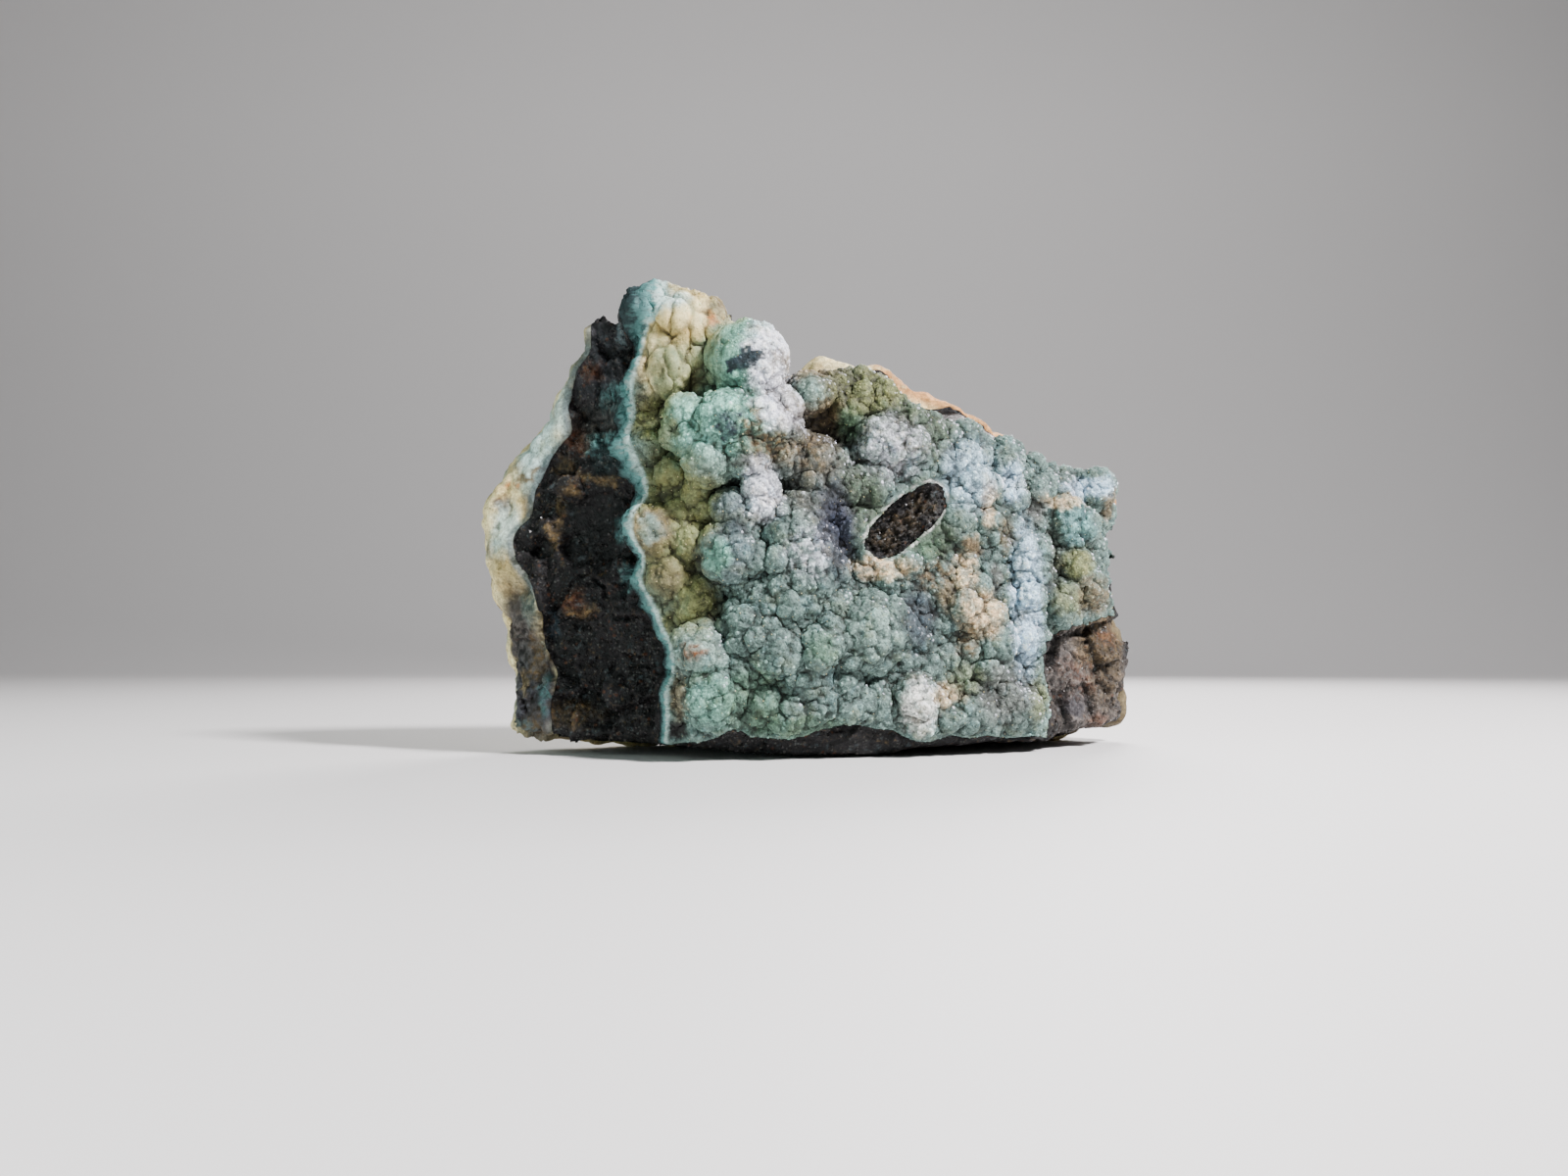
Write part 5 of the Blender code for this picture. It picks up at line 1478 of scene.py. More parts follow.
@dataclass
class WholeBody:
    """The specimen in one skin, before it is parted into rock and crusts."""

    form: Form
    nodules: Nodules
    grid: tuple[int, int] = (168, 110)
    sky_grid: tuple[int, int] = (90, 80)
    rim_row: int = 60
    first_voxel: float = 0.42
    last_voxel: float = 0.2
    evening: int = 14
    standing: tuple[Spot, ...] = (
        (-3.3, 37.7, 4.0, 1.0), (-0.4, 33.1, 2.4, 1.0), (3.2, 10.5, 2.8, 1.0), (-0.8, 10.3, 2.8, 0.95),
        (8.4, 12.0, 4.1, 1.0), (0.9, 18.6, 3.4, 0.5), (2.4, 34.7, 1.9, 1.0), (6.4, 33.6, 1.5, 1.0), (-2.2, 24.8, 2.4, 0.9),
        (-4.9, 19.4, 2.8, 0.9), (-4.9, 23.6, 1.6, 0.9), (-0.8, 18.8, 1.0, 0.8), (-2.2, 30.6, 4.4, 0.95),
    )
    bud_spacing: float = 0.76
    knob_spacing: float = 2.1
    bud_sink: float = 0.6
    ridge_pitch: float = 3.6
    ridge_height: float = 0.42

    def block(self) -> bpy.types.Object:
        """Make the block between the near and far faces, trimmed to the outline and the top."""
        form = self.form
        low, high = -2.0, 49.0

        def between(u: Array, v: Array) -> tuple:
            z = low + (high - low) * v
            x = form.left + (form.right - form.left) * u
            near = form.near_face(x, z)
            return (x, near, z), (x, np.maximum(form.far_face(x, z), near + 1.0), z)

        def above(u: Array, v: Array) -> tuple:
            x = form.left + (form.right - form.left) * u
            row = np.rint(v * self.sky_grid[1])
            rim = form.rim_place(x)
            before = form.near + (rim - form.near) * row / self.rim_row
            after = rim + form.rim_ease
            rows_left = self.sky_grid[1] - self.rim_row - 1
            after = after + (form.far - after) * (row - self.rim_row - 1) / rows_left
            y = np.where(row <= self.rim_row, before, after)
            return (x, y, form.top_height(x, y)), (x, y, np.full_like(x, form.reach + 10.0))

        block = slab("block", *self.grid, between)
        boolean(block, outline_block("outline", form.outline(), form), "INTERSECT")
        return boolean(block, slab("sky", *self.sky_grid, above), "DIFFERENCE")

    def balls(self) -> bpy.types.Object:
        """Make all nodules and lobes."""
        bm = bmesh.new()
        for x, z, radius, height in self.nodules.balls():
            centre = Vector((x, float(self.form.front_face(x, z)) - height, z)) * MM
            level = 4 if radius > 2.0 else 3
            matrix = Matrix.Translation(centre) @ Matrix.Scale(radius * MM, 4)
            bmesh.ops.create_icosphere(bm, subdivisions=level, radius=1.0, matrix=matrix)
        for x, z, half_width, half_height, lean, height in self.nodules.lobes:
            centre = Vector((x, float(self.form.front_face(x, z)) - height, z)) * MM
            matrix = Matrix.Translation(centre) @ Matrix.Rotation(math.radians(lean), 4, "Y")
            matrix = matrix @ Matrix.Diagonal(Vector((half_width, half_width, half_height)) * MM).to_4x4()
            bmesh.ops.create_icosphere(bm, subdivisions=4, radius=1.0, matrix=matrix)
        return finish_mesh("balls", bm)

    def regions(self, skin: Skin) -> tuple[Array, Array]:
        """Tell front crust and back crust apart from rock.

        Args:
            skin: the points.

        Returns:
            Front crust and back crust, from 0 to 1.
        """
        form = self.form
        x, y, z = skin.x, skin.y, skin.z
        front = (y < form.crust_contact(x, z)) & (x > form.ridge_x(z) - smooth_line(form.edge_band, z))
        front &= ~form.in_patch(x, z)
        front &= z > smooth_line(form.crust_foot, x)
        back = (y > form.back_contact(x, z)) | (x < form.left_edge(z) + smooth_line(form.left_band, z))
        return skin.average(front.astype(float), 2), skin.average((back & ~front).astype(float), 2)

    def bud_radius(self, skin: Skin) -> Array:
        """Radius of the buds from place to place, in millimetres."""
        x, z = skin.x, skin.z
        radius = 0.46 + 0.12 * wobble(x, skin.y, z, 7.0, 1.0)
        return radius + 0.32 * soft_oval(x, z, self.form.olive_zone, 1.0) + 0.14 * ramp(x, 12.0, 18.0)

    def bud_share(self, skin: Skin, front: Array) -> Array:
        """How densely buds sit on the front crust, from 0 to 1."""
        x, z = skin.x, skin.z
        form = self.form
        share = front * (1.0 - soft_oval(x, z, form.lobe_zone)) * ramp(form.oval_distance(x, z), 0.1, 0.6)
        share = share * (1.0 - 0.8 * soft_oval(x, z, form.skirt_zone, 1.0))
        share = share * (1.0 - 0.9 * soft_oval(x, z, form.ball_zone)) * (1.0 - 0.7 * soft_oval(x, z, form.cluster_zone))
        return np.clip(share, 0.0, 1.0)

    def even_out(self, body: bpy.types.Object) -> None:
        """Fill the creases between nodules where the crust is one rugged mass."""
        skin = Skin(body)
        front, back = self.regions(skin)
        x, z = skin.x, skin.z
        massed = ramp(x + 0.25 * np.maximum(0.0, 26.0 - z), -1.0, 2.0) * front
        for centre_x, centre_z, radius, share in self.standing:
            away = np.hypot(x - centre_x, z - centre_z)
            massed *= 1.0 - share * (1.0 - ramp(away, 0.8 * radius, 1.25 * radius))
        share = np.clip(0.1 * front + 0.85 * massed, 0.0, 0.92)[:, None]
        skin.places += share * (skin.average(skin.places, self.evening) - skin.places)
        turn = x + 2.2 * wobble(x, skin.y, z, 15.0, 4.0) + 0.8 * wobble(x, skin.y, z, 6.0, 9.0)
        ridges = self.ridge_height * np.cos(2.0 * math.pi * turn / self.ridge_pitch) * front
        ridges *= 0.7 + 0.6 * wobble(x, skin.y, z, 9.0, 7.0)
        ridges *= ramp(x, 13.0, 17.0) * ramp(self.form.oval_distance(x, z), 1.0, 3.0)
        skin.places += ridges[:, None] * skin.normals
        body.data.vertices.foreach_set("co", (skin.places * MM).ravel())
        body.data.update()

    def scatter(self, growth: Growth, name: str, spacing: float, scale: float, seed: int) -> Wire:
        """Add one generation of buds to a tree.

        Args:
            growth: the tree, whose mesh carries share and radius.
            name: name of their spacing.
            spacing: least distance between two of them, in millimetres.
            scale: their size against the radius of the place.
            seed: tells one generation from another.

        Returns:
            The buds as instances.
        """
        graph = growth.graph
        points = graph.node(
            "GeometryNodeDistributePointsOnFaces",
            {"distribute_method": "POISSON"},
            {"Mesh": growth.entry["Geometry"], "Distance Min": growth.size(name, spacing * MM),
             "Density Max": 4.0e6, "Density Factor": growth.attribute("share"), "Seed": seed},
        )
        limits = {"Min_001": 0.62 * scale, "Max_001": 1.3 * scale, "Seed": seed + 1}
        lot = graph.node("FunctionNodeRandomValue", {"data_type": "FLOAT"}, limits)
        radius = growth.attribute("radius") * lot["Value_001"] * MM
        inward = graph.vector("SCALE", points["Normal"], 0.0 - radius * self.bud_sink)
        sunk = graph.node("GeometryNodeSetPosition", None, {"Geometry": points["Points"], "Offset": inward})
        ball = graph.node("GeometryNodeMeshIcoSphere", None, {"Radius": 1.0, "Subdivisions": 3})
        buds = graph.node(
            "GeometryNodeInstanceOnPoints",
            None,
            {"Points": sunk["Geometry"], "Instance": ball["Mesh"], "Scale": radius},
        )
        return buds["Instances"]

    def grow_buds(self, body: bpy.types.Object) -> None:
        """Scatter fine and coarse buds over the front crust and fuse them to it."""
        skin = Skin(body)
        front, _ = self.regions(skin)
        facing = skin.normals[:, 1] < 0.45
        share = self.bud_share(skin, front) * facing
        massed = share
        radius = self.bud_radius(skin)
        skin.store("radius", radius)
        for zone in (self.form.olive_zone, self.form.ball_zone, self.form.cluster_zone):
            massed = massed * (1.0 - soft_oval(skin.x, skin.z, zone))
        generations = (("fine", share, self.bud_spacing, 1.0, 11), ("coarse", massed, self.knob_spacing, 2.5, 23))
        sources = [duplicate(body, name) for name, *_ in generations]
        for source, (name, density, spacing, scale, seed) in zip(sources, generations):
            Skin(source).store("share", density)
            growth = Growth(name + "_buds")
            buds = self.scatter(growth, "spacing", spacing, scale, seed)
            growth.close(buds, bpy.data.materials.new(name + "_base"))
            growth.grow_on(source)
            join_meshes(body, source)
        remesh(body, self.last_voxel)

    def raise_relief(self, body: bpy.types.Object) -> None:
        """Give the crusts their fine buds and the broken rock its faces and ledges."""
        skin = Skin(body)
        front, back = self.regions(skin)
        x, y, z = skin.x, skin.y, skin.z
        form = self.form
        lobes, olive = soft_oval(x, z, form.lobe_zone), soft_oval(x, z, form.olive_zone)
        calm = 1.0 - 0.8 * lobes - 0.45 * olive
        calm = calm * (0.4 + 0.6 * ramp(form.oval_distance(x, z), 0.1, 0.7))
        dish = soft_oval(x, z, form.dish_zone)
        rock = np.clip(1.0 - front - back, 0.0, 1.0)
        skin.store("front", front * calm)
        skin.store("lobes", front * lobes)
        skin.store("cobbles", front * calm * (1.0 - lobes) * (1.0 - 0.7 * soft_oval(x, z, form.ball_zone)))
        skin.store("back", back)
        crown = ramp(z - form.top_height(x, y), -2.2, -0.4) * ramp(x, -4.0, -2.0)
        tips = ramp(z - form.top_height(x, y), -2.5, -0.5) * ramp(-x, 13.0, 15.0)
        calm_rock = (1.0 - 0.85 * dish) * (1.0 - 0.9 * crown) * (1.0 - 0.8 * tips) * (0.1 + 0.9 * ramp(z, 0.5, 4.0))
        chipped = back * ramp(-x, 19.5, 21.0) * (1.0 - ramp(z, 11.0, 15.0)) * (y < form.back_contact(x, z))
        skin.store("rock", rock * calm_rock + 0.55 * chipped)
        growth = Growth("relief")
        graph = growth.graph
        place = graph.vector("SCALE", graph.node("GeometryNodeInputPosition")["Position"], 1.0 / MM)
        weave = graph.node(
            "ShaderNodeTexNoise", {"noise_dimensions": "3D"}, {"Vector": place, "Scale": 0.9, "Detail": 2.0}
        )["Color"]
        bent = graph.vector("ADD", place, graph.vector("SCALE", weave, 0.7))

        drawn = graph.vector("MULTIPLY", bent, (1.0, 1.0, 0.55))

        def buds(size: Wire, at: Wire) -> Wire:
            cells = graph.node(
                "ShaderNodeTexVoronoi", {"voronoi_dimensions": "3D", "feature": "F1"},
                {"Vector": at, "Scale": graph.over(size)},
            )
            away = cells["Distance"]
            return 1.0 - away * away * 1.4

        def plates(size: Wire, at: Wire) -> Wire:
            groove = graph.node(
                "ShaderNodeTexVoronoi", {"voronoi_dimensions": "3D", "feature": "DISTANCE_TO_EDGE"},
                {"Vector": at, "Scale": graph.over(size)},
            )["Distance"]
            return graph.step(groove, 0.0, 0.16)

        def ledges(size: Wire) -> Wire:
            cells = graph.node(
                "ShaderNodeTexVoronoi", {"voronoi_dimensions": "3D", "feature": "F1"},
                {"Vector": bent, "Scale": graph.over(size)},
            )
            arm = graph.vector("SUBTRACT", bent, cells["Position"])
            lean = graph.vector("SUBTRACT", cells["Color"], (0.5, 0.5, 0.5))
            return graph.vector("DOT_PRODUCT", arm, lean)

        height = buds(growth.size("bud_size", 0.85), bent) * growth.size("bud_height", 0.2) * growth.attribute("front")
        height = height + buds(growth.size("grain_size", 0.5), bent) * growth.size("grain_height", 0.14) * growth.attribute("front")
        height = height + buds(growth.size("dimple_size", 1.7), drawn) * growth.size("dimple_height", 0.5) * growth.attribute("lobes")
        height = height + plates(growth.size("plate_size", 1.7), drawn) * growth.size("plate_height", 0.28) * growth.attribute("lobes")
        height = height + plates(growth.size("cobble_size", 1.25), bent) * growth.size("cobble_height", 0.2) * growth.attribute("cobbles")
        height = height + (buds(growth.size("lump_size", 4.4), bent) - 0.5) * growth.size("lump_height", 1.1) * growth.attribute("back")
        height = height + buds(growth.size("knob_size", 1.5), bent) * growth.size("knob_height", 0.35) * growth.attribute("back")
        height = height + ledges(growth.size("ledge_size", 3.8)) * growth.size("ledge_height", 0.85) * growth.attribute("rock")
        height = height + ledges(growth.size("facet_size", 1.1)) * growth.size("facet_height", 0.75) * growth.attribute("rock")
        normal = graph.node("GeometryNodeInputNormal")["Normal"]
        offset = graph.vector("SCALE", normal, height * MM)
        moved = graph.node("GeometryNodeSetPosition", None, {"Geometry": growth.entry["Geometry"], "Offset": offset})
        growth.close(moved["Geometry"], bpy.data.materials.new("relief_base"))
        growth.grow_on(body)

    def open_oval(self, body: bpy.types.Object) -> None:
        """Raise a lip round the oval mouth and sink its floor of rock."""
        form = self.form
        skin = Skin(body)
        x, y, z = skin.x, skin.y, skin.z
        near = y < form.front_face(x, z) + 1.0
        uneven = 1.0 + 0.5 * wobble(x, y, z, 1.6, 2.0)
        lip = 0.15 * uneven * np.exp(-((form.oval_distance(x, z) - 0.15) / 0.3) ** 2) * near
        front, back = self.regions(skin)
        rock = np.clip(1.0 - front - back, 0.0, 1.0)[:, None]
        skin.places += 0.6 * rock * (skin.average(skin.places, 1) - skin.places)
        skin.places[:, 1] -= lip
        body.data.vertices.foreach_set("co", (skin.places * MM).ravel())
        body.data.update()
        floor = float(form.front_face(*form.oval_centre)) + form.oval_depth
        half = form.oval_half[0] + 0.5

        def pit(u: Array, v: Array) -> tuple:
            across = form.oval_centre[0] + half * (2.0 * u - 1.0)
            up = form.oval_centre[1] + half * (2.0 * v - 1.0)
            inside = form.oval_distance(across, up)
            sand = 0.22 * wobble(across, up, up, 0.9, 2.0) + 0.3 * wobble(across, up, across, 2.1, 4.0)
            depth = floor + sand - 0.5 * ramp(inside, -0.7, -0.1)
            return (across, np.full_like(across, form.near), up), (across, depth, up)

        cutter = slab("pit", 70, 70, pit)
        boolean(cutter, self.oval_column("oval", 0.0), "INTERSECT")
        boolean(body, cutter, "DIFFERENCE")

    def oval_column(self, name: str, shrink: float) -> bpy.types.Object:
        """Make the oval column that passes through the front crust, smaller by shrink on every side."""
        form = self.form
        corners = 96
        squareness = 2.0 / form.oval_power
        turn_cos, turn_sin = math.cos(form.oval_tilt), math.sin(form.oval_tilt)
        outline = []
        for step in range(corners):
            angle = -2.0 * math.pi * step / corners
            ripple = 1.0 + 0.02 * math.sin(5.0 * angle) + 0.02 * math.sin(9.0 * angle + 1.0)
            ripple += 0.015 * math.sin(19.0 * angle + 2.0)
            along, aside = math.cos(angle), math.sin(angle)
            length = (form.oval_half[0] - shrink) * math.copysign(abs(along) ** squareness, along) * ripple
            width = (form.oval_half[1] - shrink) * math.copysign(abs(aside) ** squareness, aside) * ripple
            x = form.oval_centre[0] + length * turn_cos - width * turn_sin
            z = form.oval_centre[1] + length * turn_sin + width * turn_cos
            outline.append((x, z))
        return outline_block(name, tuple(outline), form, sight=False)

    def make(self) -> bpy.types.Object:
        """Build the whole body."""
        body = self.block()
        join_meshes(body, self.balls())
        remesh(body, self.first_voxel)
        self.even_out(body)
        self.grow_buds(body)
        self.raise_relief(body)
        self.open_oval(body)
        floor = ((-50.0, -9.0), (50.0, -9.0), (50.0, 0.0), (-50.0, 0.0))
        boolean(body, outline_block("floor_cut", floor, self.form, sight=False), "DIFFERENCE")
        return body

    def front_room(self, name: str, grow: float) -> bpy.types.Object:
        """Make the room of the front crust, its left, lower and far sides moved out by grow."""
        form = self.form
        left, right = -12.0, 46.0

        def ahead(u: Array, v: Array) -> tuple:
            x = left + (right - left) * u
            low = smooth_line(form.crust_foot, x) + 0.3 * wobble(x, x, x, 7.0, 6.0) + 0.15 * wobble(x, x, x, 2.6, 2.0)
            z = low + (form.reach - low) * v
            edge = form.ridge_x(z) - form.band_width(z)
            x = edge + (right - edge) * u
            depth = form.crust_contact(x, z) + grow
            x = x - grow * (u < 0.001)
            z = z - grow * (v < 0.001)
            return (x, np.full_like(x, form.near), z), (x, depth, z)

        room = slab(name, 60, 170, ahead)
        patch = tuple((x + grow, z - grow) for x, z in ragged(form.bare_patch, 0.45, 0.3))
        boolean(room, outline_block("patch", patch, form, sight=False), "DIFFERENCE")
        return boolean(room, self.oval_column("oval", grow), "DIFFERENCE")

    def back_room(self, name: str, grow: float) -> bpy.types.Object:
        """Make the room of the back crust, its near and right sides moved out by grow."""
        form = self.form
        left, right = -40.0, 46.0
        low = -3.0
        columns = 60

        def behind(u: Array, v: Array) -> tuple:
            z = low + (form.reach - low) * v
            column = np.rint(u * columns)
            edge = form.left_edge(z) + smooth_line(form.left_band, z)
            edge = edge + 0.25 * wobble(z, z, z, 9.0, 9.0) + 0.12 * wobble(z, z, z, 3.2, 5.0)
            x = np.where(column == 0, left, edge - 0.1)
            x = np.where(column > 1, edge + (right - edge) * (column - 2) / (columns - 2), x)
            near = np.where(column > 1, form.back_contact(x, z) - grow, form.near)
            x = x + grow * ((column == 1) | (column == 2))
            return (x, near, z), (x, np.full_like(x, form.far), z)

        return slab(name, columns, 110, behind)


@dataclass
class Piece:
    """One piece of the specimen, cut from the whole body."""

    name: str
    node: str
    slot: str
    triangles: int

    def settle_mesh(self, obj: bpy.types.Object) -> Skin:
        """Thin the piece and read its points.

        Args:
            obj: the piece, cut and still in the design frame.

        Returns:
            Its points.
        """
        obj.name = self.name
        obj.data.calc_loop_triangles()
        count = len(obj.data.loop_triangles)
        if count > self.triangles:
            thin = obj.modifiers.new("thin", "DECIMATE")
            thin.ratio = self.triangles / count
            settle(obj)
        keep_largest(obj)
        bm = bmesh.new()
        bm.from_mesh(obj.data)
        bmesh.ops.triangulate(bm, faces=bm.faces)
        bm.to_mesh(obj.data)
        bm.free()
        obj.data.shade_smooth()
        obj.data.set_sharp_from_angle(angle=math.radians(60.0))
        LOG.info("%s: %d triangles before thinning, %d now", self.name, count, len(obj.data.polygons))
        return Skin(obj)

    def finish(self, obj: bpy.types.Object, material: bpy.types.Material, form: Form) -> None:
        """Dress the piece, move it to its place in the frame, attach it to the root body and hide its CAD part, if it
        has one.

        Args:
            obj: the piece.
            material: its finish.
            form: gives the origin's place in the design frame.
        """
        obj.data.materials.clear()
        obj.data.materials.append(material)
        obj.data.transform(Matrix.Translation(-Vector(form.origin) * MM))
        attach(obj, "root")
        if self.node:
            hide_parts(self.node)
        LOG.info("%s: placed", self.name)


@dataclass
class KidwelliteCrust(Piece):
    """The botryoidal front crust with its broken turquoise edge."""

    name: str = "botryoidal_crust"
    node: str = "kidwellite_crust"
    slot: str = "kidwellite"
    triangles: int = 196000

    def granular(self, skin: Skin, form: Form) -> Array:
        """Tell where the crust is covered with grains, from 0 to 1."""
        outer = (skin.y < form.crust_contact(skin.x, skin.z) - 0.4) & (skin.x > form.ridge_x(skin.z) - 0.1)
        lobes = soft_oval(skin.x, skin.z, form.lobe_zone)
        olive = soft_oval(skin.x, skin.z, form.olive_zone)
        return np.clip(outer * (1.0 - 0.95 * lobes - 0.8 * olive), 0.0, 1.0)

    def colour(self, skin: Skin, form: Form) -> None:
        """Give each point its colours and marks."""
        x, y, z = skin.x, skin.y, skin.z
        ground = np.tile(np.array(Tint.SAGE.value), (len(x), 1))
        skin.store("tint", lay_patches(skin, ground, FRONT_PATCHES, 1.0))
        small, large = skin.cavity(6) / 0.07, skin.cavity(60) / 0.5
        # how deep each point lies, for the painted shade in hollows and the painted highlight on crests
        skin.store("hollow", 0.42 * np.clip(small, -1.0, 1.0) + 0.8 * np.clip(large, -1.0, 1.0))
        # lower where grains sit: painted shade under and between the grains
        skin.store("lot", 0.5 - 0.28 * self.granular(skin, form))
        lobes, olive = soft_oval(x, z, form.lobe_zone), soft_oval(x, z, form.olive_zone)
        skirt = soft_oval(x, z, form.skirt_zone, 1.0)
        rim = form.oval_distance(x, z)
        skin.store("sugar", np.clip(1.0 - 0.9 * lobes - 0.7 * olive - 0.7 * skirt, 0.0, 1.0))
        # pale where the surface faces up and right, towards the key lamp: frost, and painted light on the lit side
        facing = skin.average(skin.normals, 2) @ np.array((0.74, -0.22, 0.60))
        frost_and_lit_side = ramp(facing, 0.25, 0.95) * (1.0 - 0.95 * lobes) * (1.0 - 0.85 * olive) * (1.0 - 0.8 * skirt)
        strong = np.zeros(len(x))
        for zone in form.frosted_zones:
            strong = np.maximum(strong, soft_oval(x, z, zone, 1.0))
        skin.store("frost_and_lit_side", frost_and_lit_side * (0.58 + 0.42 * strong))
        cap = ramp(z + 0.5 * wobble(x, y, z, 2.3, 6.0), 41.0, 43.0)
        away = form.ridge_x(z) - x + 1.3 * cap
        edge = ramp(away, -0.35, 0.05) * (y < form.crust_contact(x, z) + 3.0)
        skin.store("edge", np.clip(edge, 0.0, 1.0))
        skin.store("across", np.clip(away / form.band_width(z) - 0.1 * cap, 0.0, 1.2))
        uneven = np.clip(0.3 + 0.9 * wobble(x, y, z, 1.7, 4.0), 0.0, 0.7)
        skin.store("rim", uneven * np.exp(-((rim - 0.08) / 0.12) ** 2))

    def make(self, whole: WholeBody, body: bpy.types.Object) -> bpy.types.Object:
        """Cut the piece out of the whole body and colour it."""
        obj = duplicate(body, self.name)
        boolean(obj, whole.front_room("front_room", 0.0), "INTERSECT")
        self.colour(self.settle_mesh(obj), whole.form)
        return obj


@dataclass
class PaleBackCrust(Piece):
    """The pale crust on the back and along the left edge."""

    name: str = "pale_back_crust"
    node: str = "back_crust"
    slot: str = "pale_crust"
    triangles: int = 125000

    def colour(self, skin: Skin, form: Form) -> None:
        """Give each point its colours and marks."""
        x, y, z = skin.x, skin.y, skin.z
        cream = np.array(Tint.CREAM.value)
        ground = np.tile(cream, (len(x), 1))
        mint = ramp(wobble(x, y, z, 13.0, 3.0), 0.1, 0.5)[:, None]
        ground = ground + 0.7 * mint * (np.array(Tint.CELADON.value) - ground)
        tan = ramp(wobble(x, y, z, 9.0, 8.0), 0.2, 0.6)[:, None]
        ground = ground + 0.75 * tan * (np.array(Tint.TAN.value) - ground)
        near_top = ramp(z - form.top_height(x, form.rim_place(x) + 1.5), -5.0, -3.2)
        rim = (near_top * ramp(x, -3.0, -1.0))[:, None]
        orange = (ramp(x + 2.6 * wobble(x, y, z, 3.0, 2.0) + 1.5 * wobble(x, y, z, 1.1, 3.0), 8.0, 12.0))[:, None]
        orange = 0.85 * orange
        rim_tint = np.array(Tint.CREAM.value) + orange * (np.array(Tint.ORANGE.value) - np.array(Tint.CREAM.value))
        ground = ground + 0.9 * rim * (rim_tint - ground)
        side = 0.9 * (ramp(x + wobble(x, y, z, 3.0, 1.0), 30.0, 32.0) * (1.0 - ramp(z, 18.0, 21.0)))[:, None]
        ground = ground + side * (np.array(Tint.BROWN.value) * 1.3 - ground)
        turned = form.back_contact(x, z) - y + 1.5 * wobble(x, y, z, 4.5, 6.0) + 0.8 * wobble(x, y, z, 1.7, 2.0)
        seen = (ramp(turned, -1.0, 0.4) * (x < -14.0))[:, None]
        laid = lay_patches(skin, ground, BACK_PATCHES, 4.0)
        ground = ground + seen * (laid - ground)
        inner = form.left_edge(z) + smooth_line(form.left_band, z) - x
        layer = ramp(inner, -0.9, -0.4) * (1.0 - ramp(inner, 0.5, 1.0)) * ramp(z, 14.0, 17.0) * seen[:, 0]
        ground = ground + 0.85 * layer[:, None] * (np.array(Tint.GREY.value) * 0.8 - ground)
        skin.store("tint", ground)
        skin.store("hollow", np.clip(skin.cavity(6) / 0.08, -1.0, 1.0) * 0.5 + np.clip(skin.cavity(45) / 0.5, -1.0, 1.0) * 0.6)

    def make(self, whole: WholeBody, body: bpy.types.Object) -> bpy.types.Object:
        """Cut the piece out of the whole body and colour it."""
        obj = duplicate(body, self.name)
        boolean(obj, whole.back_room("back_room", 0.0), "INTERSECT")
        boolean(obj, whole.front_room("front_clearance", GROWN_GAP), "DIFFERENCE")
        self.colour(self.settle_mesh(obj), whole.form)
        return obj


@dataclass
class GoethiteMatrix(Piece):
    """The dark rock between the crusts."""

    name: str = "broken_rock"
    node: str = "goethite_matrix"
    slot: str = "goethite"
    triangles: int = 190000

    def colour(self, skin: Skin, form: Form) -> None:
        """Give each point its colours and marks."""
        x, y, z = skin.x, skin.y, skin.z
        ground = np.tile(np.array(Tint.COAL.value), (len(x), 1))
        skin.store("tint", lay_patches(skin, ground, ROCK_PATCHES, 7.0))
        skin.store("worn", soft_oval(x, z, form.dish_zone))
        skin.store("hollow", np.clip(skin.cavity(6) / 0.1, -1.0, 1.0) * 0.6 + np.clip(skin.cavity(45) / 0.5, -1.0, 1.0) * 0.5)

    def make(self, whole: WholeBody, body: bpy.types.Object) -> bpy.types.Object:
        """Cut the piece out of the whole body and colour it."""
        obj = duplicate(body, self.name)
        boolean(obj, whole.front_room("front_clearance", GROWN_GAP), "DIFFERENCE")
        boolean(obj, whole.back_room("back_clearance", GROWN_GAP), "DIFFERENCE")
        self.colour(self.settle_mesh(obj), whole.form)
        return obj


